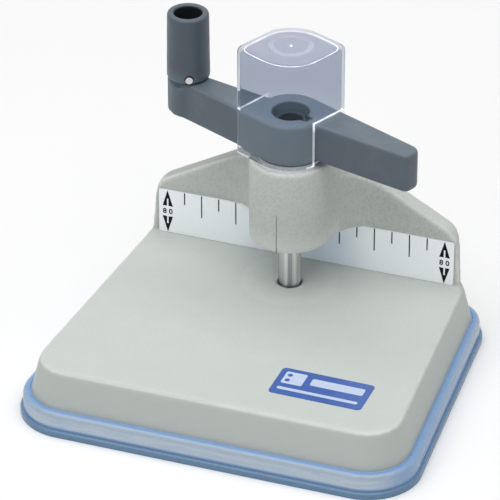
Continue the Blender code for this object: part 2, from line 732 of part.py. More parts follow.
def make_spindle():
    """Feed screw: a hollow spindle with a keyway, its lower end bored for the drill."""
    edge = SPINDLE_EDGE
    socket_r = DRILL_R + FIT
    socket_top = SPINDLE_LOW + SOCKET_L
    throat_top = socket_top + THROAT_L
    spindle = turned("feed_screw", [
        (SPINDLE_R - edge, SPINDLE_TOP), (SPINDLE_R, SPINDLE_TOP - edge), (SPINDLE_R, SPINDLE_LOW + edge),
        (SPINDLE_R - edge, SPINDLE_LOW), (socket_r, SPINDLE_LOW), (socket_r, socket_top),
        (THROAT_R, socket_top),
        (THROAT_R, throat_top), (CHIP_BORE, throat_top), (CHIP_BORE, SPINDLE_TOP)], HANDLE_AXIS, hollow=True)
    half = KEY_W / 2 + FIT
    keyway = box("keyway", (SPINDLE_R - KEYWAY_DEPTH, -half, SPINDLE_TOP - KEYWAY_L),
                 (SPINDLE_R + OVERRUN, half, SPINDLE_TOP + OVERRUN), HANDLE_AXIS)
    height = SPINDLE_LOW + DRILL_SCREW_UP
    screw_hole = rod("drill_screw_hole", DRILL_SCREW_R + FIT, (DRILL_BORE, 0, height),
                     (SPINDLE_R + OVERRUN, 0, height), HANDLE_AXIS)
    cut(spindle, keyway, screw_hole)
    finish(spindle, (0.5, 0.5, 0.52), 0.3, 1.0)
    tip = socket_r
    end = SPINDLE_R - FIT / 2
    screw = rod("drill_set_screw", DRILL_SCREW_R, (tip, 0, height), (end, 0, height), HANDLE_AXIS)
    socketed(screw, DRILL_SCREW_R, (end, 0, height), -X_AXIS, (end - tip) * SOCKET_DEPTH_SHARE, HANDLE_AXIS)
    finish(screw, (0.08, 0.08, 0.09), 0.4, 1.0)


def make_drill():
    """Tubular drill, ground to an edge from inside."""
    tip = TABLE_Z - DRILL_TIP
    top = SPINDLE_LOW + SOCKET_L - FIT
    edge_r = DRILL_R - (DRILL_R - DRILL_BORE) * DRILL_EDGE_SHARE
    drill = turned("drill_tube", [
        (DRILL_R, top), (DRILL_R, tip), (edge_r, tip), (DRILL_BORE, tip + DRILL_BEVEL), (DRILL_BORE, top)],
        HANDLE_AXIS, hollow=True)
    return finish(drill, (0.7, 0.7, 0.7), 0.15, 1.0)


def half_turned(points):
    """The same points turned half a turn about the axis."""
    return [Vector((-p.x, -p.y)) for p in points]


def hub_outline(corner):
    """Plan of the hub, also the cap's inside: a circle with two flats and two square corners."""
    junction = sqrt(HUB_R ** 2 - HUB_FLAT ** 2)
    start = atan2(-junction, HUB_FLAT)
    front = arc((0, 0), HUB_R, -pi / 2, start, BOSS_STEPS // 2)
    square = rounded([(HUB_FLAT, 0, 0), (HUB_FLAT, HUB_R, corner), (0, HUB_R, 0)])[1:-1]
    half = front + square
    return half + half_turned(half)


def handle_outline():
    """Plan of the handle: the round hub with a tapered arm on each side, alike after half a turn."""
    junction = sqrt(HUB_R ** 2 - HUB_FLAT ** 2)
    start = atan2(-junction, HUB_FLAT)
    front = arc((0, 0), HUB_R, -pi / 2, start, BOSS_STEPS // 2)
    arm = rounded([
        (HUB_FLAT, -ARM_ROOT, 0), (ARM_REACH, ARM_TIP, ARM_FRONT_CORNER), (ARM_REACH, HUB_R, ARM_REAR_CORNER),
        (0, HUB_R, 0)])[:-1]
    half = front + arm
    return half + half_turned(half)


def arm_core():
    """Plan of the hollow under the right arm."""
    inner = HUB_R + ARM_WALL
    run = ARM_REACH - HUB_FLAT
    rise = (ARM_TIP + ARM_ROOT) / run
    root = -ARM_ROOT + rise * (inner - HUB_FLAT) + ARM_WALL
    tip_x = ARM_REACH - ARM_WALL
    tip = -ARM_ROOT + rise * (tip_x - HUB_FLAT) + ARM_WALL
    back = HUB_R - ARM_WALL
    return rounded([
        (inner, root, ARM_CORE_CORNER), (tip_x, tip, ARM_CORE_CORNER), (tip_x, back, ARM_CORE_CORNER),
        (inner, back, ARM_CORE_CORNER)], EDGE_STEPS)


def make_handle():
    """Handle: moulded hub and arms, cored from below, with the bores for the neck, spindle, key and post."""
    levels = edge_levels(ARM_Z, HUB_TOP, HANDLE_EDGE, HANDLE_EDGE)
    handle = loft("handle", handle_outline(), levels, HANDLE_AXIS)
    collar_levels = [(-FIT, HUB_Z), (-FIT, ARM_Z + HANDLE_EDGE)]
    collar = loft("hub_collar", hub_outline(CAP_CORNER), collar_levels, HANDLE_AXIS)
    join(handle, collar)
    core_top = HUB_TOP - ARM_ROOF
    right_core = loft("right_core", arm_core(), plain(ARM_Z - OVERRUN, core_top), HANDLE_AXIS)
    left_core = loft("left_core", half_turned(arm_core()), plain(ARM_Z - OVERRUN, core_top), HANDLE_AXIS)
    cut(handle, right_core, left_core)
    boss_r = POST_STEM_R + FIT + POST_WALL
    join(handle, plug("post_boss", boss_r, ARM_Z + HANDLE_EDGE, core_top + SINK, KNOB_AXIS))

    neck_top = NECK_TOP + FIT
    bore = turned("hub_bore", [
        (0, HUB_TOP + OVERRUN), (SPINDLE_R + FIT, HUB_TOP + OVERRUN), (SPINDLE_R + FIT, neck_top),
        (NECK_R + FIT, neck_top), (NECK_R + FIT, HUB_Z - OVERRUN), (0, HUB_Z - OVERRUN)], HANDLE_AXIS)
    half = KEY_W / 2 + FIT
    key_low = HUB_TOP - KEY_SINK - KEY_H
    notch = box("key_notch", (0, -half, key_low - FIT), (SPINDLE_R + FIT + KEY_OUT, half, HUB_TOP + OVERRUN),
                HANDLE_AXIS)
    grub_z = NUT_TOP + GROOVE_UP + GROOVE_H / 2
    grub_hole = rod("grub_hole", GRUB_R + FIT, (0, NECK_R, grub_z), (0, HUB_R + OVERRUN, grub_z), HANDLE_AXIS)
    stem_hole = plug("stem_hole", POST_STEM_R + FIT, ARM_Z + POST_FLOOR, HUB_TOP + OVERRUN, KNOB_AXIS)
    cut(handle, bore, notch, grub_hole, stem_hole)
    finish(handle, (0.13, 0.17, 0.20), 0.5)

    key_in = SPINDLE_R - KEYWAY_DEPTH + FIT
    key_out = SPINDLE_R + KEY_OUT
    key = box("drive_key", (key_in, -KEY_W / 2, key_low), (key_out, KEY_W / 2, key_low + KEY_H), HANDLE_AXIS)
    finish(key, (0.45, 0.45, 0.46), 0.35, 1.0)

    tip = NECK_R - GROOVE_DEPTH + FIT
    grub = rod("hub_grub_screw", GRUB_R, (0, tip, grub_z), (0, tip + GRUB_L, grub_z), HANDLE_AXIS)
    socketed(grub, GRUB_R, (0, tip + GRUB_L, grub_z), -Y_AXIS, GRUB_L * SOCKET_DEPTH_SHARE, HANDLE_AXIS)
    finish(grub, (0.08, 0.08, 0.09), 0.4, 1.0)


def make_knob():
    """Crank knob: a hollow grip on a short post, kept by a pin that runs in the post's groove."""
    top = KNOB_Z + KNOB_H
    lip = KNOB_EDGE / 2
    knob = turned("crank_knob", [
        (KNOB_TOP_R - KNOB_EDGE, top), (KNOB_TOP_R - lip / 2, top - lip / 2), (KNOB_TOP_R, top - KNOB_EDGE),
        (KNOB_FOOT_R, KNOB_Z + lip), (KNOB_FOOT_R - lip, KNOB_Z), (KNOB_BORE, KNOB_Z), (KNOB_BORE, top - lip),
        (KNOB_BORE + lip, top)], KNOB_AXIS, hollow=True)
    reach = Vector((cos(PIN_TURN), sin(PIN_TURN), 0))
    lift = Z_AXIS * (KNOB_Z + PIN_UP)
    pin_hole = rod("pin_hole", PIN_R + PIN_FIT, reach * POST_R + lift, reach * (KNOB_FOOT_R + OVERRUN) + lift,
                   KNOB_AXIS)
    cut(knob, pin_hole)
    finish(knob, (0.12, 0.16, 0.19), 0.5)
    groove_r = POST_R - POST_GROOVE
    pin_end = reach * (KNOB_FOOT_R + PIN_PROUD) + lift
    pin = rod("knob_pin", PIN_R, reach * (groove_r + FIT) + lift, pin_end, KNOB_AXIS)
    finish(pin, (0.8, 0.8, 0.8), 0.2, 1.0)

    stem_low = ARM_Z + POST_FLOOR + FIT
    post_top = KNOB_Z + POST_H
    groove_half = PIN_R + FIT
    groove_mid = KNOB_Z + PIN_UP
    groove_low = groove_mid - groove_half
    post = turned("knob_post", [
        (0, post_top), (POST_R - KNOB_EDGE, post_top), (POST_R, post_top - KNOB_EDGE),
        (POST_R, groove_mid + groove_half), (groove_r, groove_mid + groove_half), (groove_r, groove_low),
        (POST_STEM_R, groove_low), (POST_STEM_R, stem_low), (0, stem_low)], KNOB_AXIS)
    return finish(post, (0.5, 0.5, 0.5), 0.3, 1.0)


def make_cap():
    """Chip cap: clear, shaped like the hub, with slots for the arms and a ring on its top."""
    outer = FIT + CAP_WALL
    low = ARM_Z - CAP_SKIRT
    top = HUB_TOP + CAP_ABOVE
    outline = hub_outline(CAP_CORNER)
    shape = [(outer, low)] + [(outer + grow, z) for grow, z in edge_levels(low, top, 0, CAP_EDGE)[1:]]
    cap = loft("chip_cap", outline, shape, HANDLE_AXIS)
    soft = CAP_CORNER + FIT / 2
    inside = loft("cap_inside", outline, [(FIT, low - OVERRUN), (FIT, top - CAP_TOP - soft),
                                          (FIT - soft, top - CAP_TOP)], HANDLE_AXIS)
    cut(cap, inside)
    slot_top = HUB_TOP + CAP_SLOT_GAP
    slot_far = HUB_FLAT + outer + OVERRUN
    for side in (-1, 1):
        ends = sorted((side * HUB_FLAT / 2, side * slot_far))
        edges = sorted((side * (-ARM_ROOT - FIT), side * (HUB_R + FIT)))
        slot = box("arm_slot" + str(side), (ends[0], edges[0], low - OVERRUN),
                   (ends[1], edges[1], slot_top), HANDLE_AXIS)
        cut(cap, slot)
    ring_low = top - CAP_RING_DEPTH
    ring = turned("cap_ring", [
        (CAP_RING_R, top + OVERRUN), (CAP_RING_R, ring_low), (CAP_RING_IN, ring_low),
        (CAP_RING_IN, top + OVERRUN)], HANDLE_AXIS, hollow=True)
    gate = plug("cap_gate", CAP_GATE_R, top - CAP_GATE_DEPTH, top + OVERRUN, HANDLE_AXIS, CORNER_STEPS * 2)
    cut(cap, ring, gate)
    return finish(cap, (0.62, 0.68, 0.82), 0.1, transmission=0.9)


def main():
    make_casting()
    make_cover()
    make_cover_screws()
    make_gauge_plate()
    make_pad()
    make_nut()
    make_washer()
    make_bush()
    make_spindle()
    make_drill()
    make_handle()
    make_knob()
    make_cap()


main()
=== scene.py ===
"""The looks of a hand-cranked paper drill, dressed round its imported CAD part.

The part's frame is in metres: Z is up, the gauge plate faces -Y and the floor is at zero. Outlines and profiles
that become a mesh are listed in mm. Colours are linear. A BAND is a pair of values between which a share grows
from nothing to full, softly at both ends; it falls where the first value is the larger one. A ROUGH is such a
pair of noise values and the roughness at each.
"""

import math

import bmesh
import bpy
import numpy as np
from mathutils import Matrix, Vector
from mathutils.geometry import convex_hull_2d


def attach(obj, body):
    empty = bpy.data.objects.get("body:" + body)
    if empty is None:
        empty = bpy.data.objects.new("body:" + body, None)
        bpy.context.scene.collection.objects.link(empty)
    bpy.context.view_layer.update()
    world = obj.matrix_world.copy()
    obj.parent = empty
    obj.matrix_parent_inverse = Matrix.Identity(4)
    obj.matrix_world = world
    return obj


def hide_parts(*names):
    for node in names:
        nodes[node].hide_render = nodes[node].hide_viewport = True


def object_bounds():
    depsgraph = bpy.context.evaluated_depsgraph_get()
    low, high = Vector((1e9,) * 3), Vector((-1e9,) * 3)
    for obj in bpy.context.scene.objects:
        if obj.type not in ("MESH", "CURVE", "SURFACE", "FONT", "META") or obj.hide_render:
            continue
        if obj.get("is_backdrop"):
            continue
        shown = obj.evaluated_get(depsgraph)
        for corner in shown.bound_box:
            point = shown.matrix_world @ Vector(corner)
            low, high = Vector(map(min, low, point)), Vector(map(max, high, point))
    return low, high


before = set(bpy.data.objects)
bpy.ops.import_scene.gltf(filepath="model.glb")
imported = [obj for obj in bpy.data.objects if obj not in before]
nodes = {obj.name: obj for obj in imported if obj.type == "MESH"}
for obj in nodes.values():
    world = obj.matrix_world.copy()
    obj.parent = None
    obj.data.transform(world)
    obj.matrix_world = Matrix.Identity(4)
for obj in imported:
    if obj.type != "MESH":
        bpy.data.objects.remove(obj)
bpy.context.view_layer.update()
MM = 0.001
TABLE_TOP = 16.9 * MM
PLATE_FRONT = 35.1 * MM
DRILL_Y = 23.1 * MM


def mm(*values):
    """Lengths given in mm, in metres."""
    return [value * MM for value in values]


# Studio: a pale floor, a big soft key light overhead, a weak one in front and a bright surround.
# The surround looks white to the camera and lights the object more gently than it looks.
FLOOR_COLOUR, FLOOR_FLECK, FLOOR_GRAIN, FLOOR_HALF = (0.93, 0.93, 0.93), 0.004, 60 * MM, 4
SURROUND = 0.24
LAMPS = {"key": (16.6, 1.60, (-0.03, -0.10, 1.12)), "fill": (0.65, 0.50, (-0.30, -0.95, 0.60))}
AIM = Vector((-15.87, 35.1, 16.31)) * MM
AZIMUTH, ELEVATION, DISTANCE, LENS = math.radians(20.03), math.radians(31.31), 1113.4 * MM, 291.4


class Wire:
    """A socket that can be used in sums. A sum adds one Math node, and plain numbers are set on its inputs."""

    def __init__(self, tree, socket):
        self.tree, self.socket = tree, socket

    def sum(self, operation, *values):
        made = self.tree.nodes.new("ShaderNodeMath")
        made.operation = operation
        for entry, value in zip(made.inputs, values):
            if isinstance(value, Wire):
                self.tree.links.new(value.socket, entry)
            else:
                entry.default_value = value
        return Wire(self.tree, made.outputs[0])

    def __add__(self, other):
        return self.sum("ADD", self, other)

    def __sub__(self, other):
        return self.sum("SUBTRACT", self, other)

    def __rsub__(self, other):
        return self.sum("SUBTRACT", other, self)

    def __mul__(self, other):
        return self.sum("MULTIPLY", self, other)

    __radd__, __rmul__ = __add__, __mul__


class Finish:
    """One Principled material. A node is added by its type, with settings as keywords and inputs as a dict."""

    def __init__(self, name, **plain):
        self.material = bpy.data.materials.new(name)
        self.material.use_nodes = True
        self.tree = self.material.node_tree
        self.surface = self.tree.nodes["Principled BSDF"]
        self.place = self.node("ShaderNodeTexCoord", output="Object")
        for entry, value in plain.items():
            self.surface.inputs[entry.replace("_", " ")].default_value = value

    def node(self, kind, inputs=None, output=0, **settings):
        made = self.tree.nodes.new(kind)
        for key, value in settings.items():
            setattr(made, key, value)
        for key, value in (inputs or {}).items():
            self.feed(made.inputs[key], value)
        return Wire(self.tree, made.outputs[output])

    def feed(self, entry, value):
        if isinstance(value, Wire):
            self.tree.links.new(value.socket, entry)
        else:
            entry.default_value = value

    def set(self, entry, value):
        self.feed(self.surface.inputs[entry], value)

    def noise(self, size, detail=2.0):
        """Noise from 0 to 1 whose lumps are about size across."""
        return self.node("ShaderNodeTexNoise", {"Vector": self.place, "Scale": 1 / size, "Detail": detail})

    def drawn_out(self, lumps, rough=0.5):
        """Noise from 0 to 1 with its own number of lumps per metre along X, Y and Z."""
        stretched = self.node("ShaderNodeVectorMath", {0: self.place, 1: lumps}, operation="MULTIPLY")
        return self.node("ShaderNodeTexNoise", {"Vector": stretched, "Scale": 1.0, "Detail": 3.0,
                                                "Roughness": rough})

    def spread(self, value, low, high, to_low=0.0, to_high=1.0):
        """The value, moved from its old range to a new one and held inside it, with soft ends."""
        return self.node("ShaderNodeMapRange", {"Value": value, "From Min": low, "From Max": high,
                                                "To Min": to_low, "To Max": to_high},
                         interpolation_type="SMOOTHSTEP")

    def mix(self, share, first, second):
        first = first if isinstance(first, Wire) else (*first, 1)
        second = second if isinstance(second, Wire) else (*second, 1)
        return self.node("ShaderNodeMix", {0: share, 6: first, 7: second}, output=2, data_type="RGBA")

    def along(self, axis):
        """The place along X, Y or Z, for axis 0, 1 or 2."""
        return self.node("ShaderNodeSeparateXYZ", {0: self.place}, output=axis)

    def from_upright(self, x, y):
        """The distance from the upright line through (x, y)."""
        level = self.node("ShaderNodeVectorMath", {0: self.place, 1: (1, 1, 0)}, operation="MULTIPLY")
        return self.node("ShaderNodeVectorMath", {0: level, 1: (x, y, 0)}, operation="DISTANCE", output="Value")

    def stored(self, name):
        return self.node("ShaderNodeAttribute", output="Fac", attribute_name=name)

    def bump(self, height, depth, strength=1.0):
        self.set("Normal", self.node("ShaderNodeBump", {"Height": height, "Distance": depth,
                                                        "Strength": strength}))


def added(thing, body=None):
    bpy.context.scene.collection.objects.link(thing)
    if body:
        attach(thing, body)
    return thing


def mesh_of(name, points, faces, finish):
    """A mesh of points in metres, with its finish."""
    mesh = bpy.data.meshes.new(name)
    mesh.from_pydata(points, [], faces)
    mesh.materials.append(finish.material)
    return mesh


floor_paint = Finish("floor", Roughness=0.9)
floor_paint.set("Base Color", floor_paint.mix(floor_paint.noise(FLOOR_GRAIN), FLOOR_COLOUR,
                                              [c - FLOOR_FLECK for c in FLOOR_COLOUR]))
floor_corners = [(FLOOR_HALF * x, FLOOR_HALF * y, 0) for x, y in ((-1, -1), (1, -1), (1, 1), (-1, 1))]
floor = added(bpy.data.objects.new("floor", mesh_of("floor", floor_corners, [(0, 1, 2, 3)], floor_paint)))
floor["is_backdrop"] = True

for name, (power, size, place) in LAMPS.items():
    lamp = bpy.data.lights.new(name, "AREA")
    lamp.energy, lamp.size = power, size
    holder = added(bpy.data.objects.new(name, lamp))
    holder.location = place
    holder.rotation_euler = (AIM - Vector(place)).to_track_quat("-Z", "Y").to_euler()

world = bpy.data.worlds.new("surround")
bpy.context.scene.world = world
world.use_nodes = True
rays = world.node_tree.nodes.new("ShaderNodeLightPath").outputs
camera_ray, glossy_ray, clear_ray = (Wire(world.node_tree, rays[key]) for key in (
    "Is Camera Ray", "Is Glossy Ray", "Is Transmission Ray"))
white = camera_ray.sum("MAXIMUM", camera_ray.sum("MAXIMUM", camera_ray, glossy_ray), clear_ray)
backdrop = world.node_tree.nodes["Background"]
world.node_tree.links.new((white * (1 - SURROUND) + SURROUND).socket, backdrop.inputs["Strength"])
backdrop.inputs["Color"].default_value = (1, 1, 1, 1)

lens = bpy.data.cameras.new("camera")
lens.sensor_width, lens.lens, lens.clip_start, lens.clip_end = 36, LENS, 0.05, 20
camera = added(bpy.data.objects.new("camera", lens))
level = math.cos(ELEVATION)
back = Vector((math.sin(AZIMUTH) * level, -math.cos(AZIMUTH) * level, math.sin(ELEVATION)))
camera.location = AIM + back * DISTANCE
camera.rotation_euler = (-back).to_track_quat("-Z", "Y").to_euler()
bpy.context.scene.camera = camera
bpy.context.scene.view_settings.view_transform = "Standard"


# Body casting: the CAD casting with its edges and inside corners rounded, in grey-green textured paint.
# The paint is pebbled on the head and finer on the table. Along the edges it is paler: worn thin, and a
# painted highlight. Painted shade greys the skirts and the left sloping edge of the wall, and painted light
# makes the right one and the foot of the boss paler.
CAST_VOXEL, CAST_ROUNDS = 0.66 * MM, 4
CAST_COLOUR, CAST_DARK, CAST_WORN_AND_LIT = (0.565, 0.600, 0.572), (0.46, 0.49, 0.455), (0.80, 0.82, 0.79)
CAST_SKIRT_SHADE, CAST_SLOPE_SHADE = (0.462, 0.497, 0.474), (0.405, 0.437, 0.417)
PEBBLE, PEBBLE_DEPTH, TABLE_PEBBLES, FINE_PEBBLE, FINE_SHARE = 0.85 * MM, 0.22 * MM, 0.22, 0.35, 0.3
MOTTLE, MOTTLE_BAND, MOTTLE_SHARE, PIT_BAND, PIT_SHARE = 9 * MM, (0.35, 0.7), 0.10, (0.75, 0.45), 0.45
WORN_AND_LIT_BAND, WORN_AND_LIT_SHARE, CAST_ROUGH = (0.10, 0.55), 0.85, (0.4, 0.9, 0.56, 0.42)
HOLE_ZONE = mm(5.5, 14, 40)
HEAD_BAND = (TABLE_TOP + 0.5 * MM, TABLE_TOP + 3 * MM)
SKIRT_TILT, SLOPE_TILT, LEVEL_TILT = (0.85, 0.35), (0.72, 0.84), (0.97, 0.91)
MIDDLE_BAND, BOSS_FOOT_BAND, BOSS_ROUND_BAND = mm(-4, 4), mm(39, 31), mm(14, 12.5)
RIGHT_SLOPE_LIGHT_SHARE, BOSS_FOOT_LIGHT_SHARE = 0.12, 0.55
WELD = 0.002 * MM


def smooth(mesh):
    mesh.polygons.foreach_set("use_smooth", np.ones(len(mesh.polygons), bool))


def softened(name, source, body, voxel, rounds, finish, crisp=None, shape_it=None):
    """Merges a copy of a CAD node, remeshes it in cubes and moves each point to the mean of itself and its
    neighbours, some rounds over. How far each point moved inwards is stored as bend: plus on outer edges. How
    much it faces up is stored as up.
    Crisp is a zone round the drill axis, (radius, low, high), where a single round keeps holes sharp."""
    mesh = nodes[source].data.copy()
    shape = bmesh.new()
    shape.from_mesh(mesh)
    bmesh.ops.remove_doubles(shape, verts=shape.verts, dist=WELD)
    shape.to_mesh(mesh)
    shape.free()
    piece = added(bpy.data.objects.new(name, mesh))
    cubes = piece.modifiers.new("cubes", "REMESH")
    cubes.mode, cubes.voxel_size, cubes.adaptivity = "VOXEL", voxel, 0
    ready = bpy.data.meshes.new_from_object(piece.evaluated_get(bpy.context.evaluated_depsgraph_get()))
    piece.modifiers.remove(cubes)
    piece.data = ready
    place = np.zeros(len(ready.vertices) * 3)
    ready.vertices.foreach_get("co", place)
    place = place.reshape(-1, 3)
    first = place.copy()
    ends = np.zeros(len(ready.edges) * 2, int)
    ready.edges.foreach_get("vertices", ends)
    one, two = ends.reshape(-1, 2).T
    count = np.bincount(np.r_[one, two], minlength=len(place)) + 1
    sharp = np.zeros(len(place), bool)
    if crisp:
        radius, low, high = crisp
        sharp = np.hypot(place[:, 0], place[:, 1] - DRILL_Y) < radius
        sharp &= (place[:, 2] > low) & (place[:, 2] < high)
    for turn in range(rounds):
        total = [np.bincount(np.r_[one, two], np.r_[place[two, k], place[one, k]], len(place))
                 for k in range(3)]
        mean = (place + np.array(total).T) / count[:, None]
        place = np.where(sharp[:, None] & (turn > 0), place, mean)
    if shape_it:
        place = shape_it(place)
    ready.vertices.foreach_set("co", place.ravel())
    ready.update()
    normal = np.zeros(len(place) * 3)
    ready.vertices.foreach_get("normal", normal)
    bend = ((first - place) * normal.reshape(-1, 3)).sum(1) / voxel
    for key, value in (("bend", bend), ("up", normal[2::3])):
        ready.attributes.new(key, "FLOAT", "POINT").data.foreach_set("value", value.astype(np.float32))
    smooth(ready)
    ready.materials.clear()
    ready.materials.append(finish.material)
    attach(piece, body)
    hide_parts(source)


paint = Finish("casting_paint", Roughness=0.5, Specular_IOR_Level=0.35)
head_share = paint.spread(paint.along(2), *HEAD_BAND, TABLE_PEBBLES, 1.0)
pebbles = paint.noise(PEBBLE, 1.5) + FINE_SHARE * paint.noise(PEBBLE * FINE_PEBBLE)
mottle = paint.spread(paint.noise(MOTTLE, 3), *MOTTLE_BAND)
pits = paint.spread(pebbles, *PIT_BAND) * head_share
coat = paint.mix(mottle * MOTTLE_SHARE + pits * PIT_SHARE, CAST_COLOUR, CAST_DARK)
up = paint.stored("up")
# Painted shade: the skirts, the upright faces of the table, are greyer.
coat = paint.mix(paint.spread(up, *SKIRT_TILT) * (1 - head_share), coat, CAST_SKIRT_SHADE)
# Painted shade greys the wall's left sloping edge, and painted light makes its right one paler.
slopes = paint.spread(up, *SLOPE_TILT) * paint.spread(up, *LEVEL_TILT) * head_share
on_right = paint.spread(paint.along(0), *MIDDLE_BAND)
coat = paint.mix(slopes * (1 - on_right), coat, CAST_SLOPE_SHADE)
coat = paint.mix(slopes * on_right * RIGHT_SLOPE_LIGHT_SHARE, coat, CAST_WORN_AND_LIT)
# Painted light: the paint is paler low on the boss, where it meets the table.
boss_foot_light = paint.spread(paint.along(2), *BOSS_FOOT_BAND) * head_share
boss_foot_light = boss_foot_light * paint.spread(paint.from_upright(0, DRILL_Y), *BOSS_ROUND_BAND)
coat = paint.mix(boss_foot_light * BOSS_FOOT_LIGHT_SHARE, coat, CAST_WORN_AND_LIT)
# Outer edges are paler: worn paint, and a painted highlight along them.
worn_and_lit_edges = paint.spread(paint.stored("bend"), *WORN_AND_LIT_BAND)
paint.set("Base Color", paint.mix(worn_and_lit_edges * WORN_AND_LIT_SHARE, coat, CAST_WORN_AND_LIT))
paint.set("Roughness", paint.spread(pebbles, *CAST_ROUGH))
paint.bump(pebbles * head_share, PEBBLE_DEPTH)
softened("painted_casting", "body_casting", "base", CAST_VOXEL, CAST_ROUNDS, paint,
         HOLE_ZONE)


# Small fittings: the CAD nodes themselves, with a fine bevel on every edge and their own metals and plastics.
# Each material has its own grain, so that the faces don't look like one flat colour.
# A row gives the colour, how metallic and how rough it is, the grain's size in mm, and the nodes.
FITTINGS = {
    "screw_steel": ((0.50, 0.50, 0.51), 1.0, 0.30, 0.6, (
        "cover_screw_1", "cover_screw_2", "cover_screw_3", "cover_screw_4", "pad_plate_screw_1",
        "pad_plate_screw_2", "thrust_washer", "knob_post")),
    "pad_plastic": ((0.78, 0.78, 0.75), 0.0, 0.55, 0.8, ("drill_pad",)),
    "nut_brass": ((0.62, 0.45, 0.18), 1.0, 0.28, 0.7, ("feed_nut", "guide_bush")),
    "black_steel": ((0.07, 0.07, 0.075), 0.6, 0.40, 0.5, (
        "nut_set_screw", "drive_key", "hub_grub_screw", "drill_set_screw")),
    "bright_steel": ((0.62, 0.62, 0.63), 1.0, 0.15, 0.4, ("knob_pin",)),
    "plate_steel": ((0.55, 0.56, 0.58), 1.0, 0.35, 0.5, ("pad_plate",)),
}
SPECKLE_BAND, SPECKLE_DIM, SPECKLE_ROUGH, SPECKLE_DEPTH = (0.3, 0.75), 0.86, 0.1, 0.004 * MM
EASE_STEPS, EASE_ANGLE = 3, math.radians(35)


def eased(node, finish, width=0.12 * MM):
    """Puts a finish and a narrow bevel on a CAD node or a copy of one. The mesh's points stay as they are."""
    mesh = node.data
    if "custom_normal" in mesh.attributes:
        mesh.attributes.remove(mesh.attributes["custom_normal"])
    mesh.materials.clear()
    mesh.materials.append(finish.material)
    smooth(mesh)
    node.modifiers.new("merge", "WELD").merge_threshold = WELD
    ease = node.modifiers.new("ease", "BEVEL")
    ease.width, ease.segments, ease.angle_limit = width, EASE_STEPS, EASE_ANGLE
    ease.limit_method, ease.harden_normals = "ANGLE", True


for slot, (colour, metal, rough, size, members) in FITTINGS.items():
    finish = Finish(slot, Metallic=metal, Roughness=rough)
    speckle = finish.noise(size * MM, 3)
    dim = [c * SPECKLE_DIM for c in colour]
    finish.set("Base Color", finish.mix(finish.spread(speckle, *SPECKLE_BAND), colour, dim))
    finish.set("Roughness", finish.spread(speckle, *SPECKLE_BAND, rough, rough + SPECKLE_ROUGH))
    finish.bump(speckle, SPECKLE_DEPTH)
    for member in members:
        eased(nodes[member], finish)


# Bottom cover: a copy of the CAD tray with finely rounded corners and eased rims, in clouded blue plastic, and
# a soft lip that hugs the casting's foot. Its ledge is pale blue and its flange deeper blue. In front its wall
# looks milky: clouded plastic, made paler by painted light. Painted shade lies under the ledge and in the
# crease along its foot; at the sides these are faint.
LEDGE, COVER_MILKY_LIT = (0.20, 0.34, 0.58), (0.46, 0.55, 0.645)
COVER_DEEP, COVER_CREASE_SHADE, COVER_SHADE = (0.122, 0.225, 0.36), (0.11, 0.20, 0.32), (0.27, 0.35, 0.44)
CLOUD_LUMPS, CLOUD_DEPTH, CLOUD_MILK = (90, 90, 700), 0.03 * MM, (0.2, 0.6, 0.75, 1.0)
SHADE_SHARE, CREASE_SHADE_SHARE, TRAY_ROUGH = 0.6, 0.25, (0.3, 0.7, 0.20, 0.34)
FLANGE_BAND, WALL_FOOT_BAND, WALL_HEAD_BAND = mm(1.7, 2.3), mm(2.3, 3.0), mm(6.68, 6.35)
SHADE_FOOT_BAND, SHADE_HEAD_BAND = mm(4.9, 6.1), mm(6.62, 6.45)
LINE_FOOT_BAND, LINE_HEAD_BAND = mm(1.6, 1.95), mm(2.7, 2.2)
SIDE_BAND, SIDE_SHARE = mm(47, 54), 0.20
TRAY_EASE, LIP_HALF, LIP_OUT, LIP_Z, LIP_FLATTENING = 0.30 * MM, 0.30, 2.30, 6.50, 0.8
ROPE_SIDES = 16
TABLE_CORNERS = [(-50.8, -41.1, 9.4), (50.8, -41.1, 9.4), (45.3, 41.1, 6.5), (-45.3, 41.1, 6.5)]
CAD_CORNER_STEPS, SPLITS, CORNER_INSIDE, CORNER_OUTSIDE = 5, 4, 8.5, 20
FACET_SLACK, EARLY = 0.01, 0.1  # radians
tray_finish = Finish("cover_plastic", Roughness=0.26, Specular_IOR_Level=0.5)
tray_height = tray_finish.along(2)
sideways = tray_finish.along(0)
in_front = tray_finish.spread(sideways.sum("ABSOLUTE", sideways), *SIDE_BAND, 1.0, SIDE_SHARE)
clouds = tray_finish.drawn_out(CLOUD_LUMPS)
wall = tray_finish.spread(tray_height, *WALL_FOOT_BAND) * tray_finish.spread(tray_height, *WALL_HEAD_BAND)
shade = tray_finish.spread(tray_height, *SHADE_FOOT_BAND) * tray_finish.spread(tray_height, *SHADE_HEAD_BAND)
line = tray_finish.spread(tray_height, *LINE_FOOT_BAND) * tray_finish.spread(tray_height, *LINE_HEAD_BAND)
tone = tray_finish.mix(tray_finish.spread(tray_height, *FLANGE_BAND), COVER_DEEP, LEDGE)
# Clouded plastic, made paler in front by painted light.
milk_and_light = wall * in_front * tray_finish.spread(clouds, *CLOUD_MILK)
tone = tray_finish.mix(milk_and_light, tone, COVER_MILKY_LIT)
tone = tray_finish.mix(shade * in_front * SHADE_SHARE, tone, COVER_SHADE)
# Painted shade: a dark line along the crease between the wall and the flange.
tray_finish.set("Base Color", tray_finish.mix(line * in_front * CREASE_SHADE_SHARE, tone, COVER_CREASE_SHADE))
tray_finish.set("Roughness", tray_finish.spread(clouds, *TRAY_ROUGH))
tray_finish.bump(clouds, CLOUD_DEPTH)


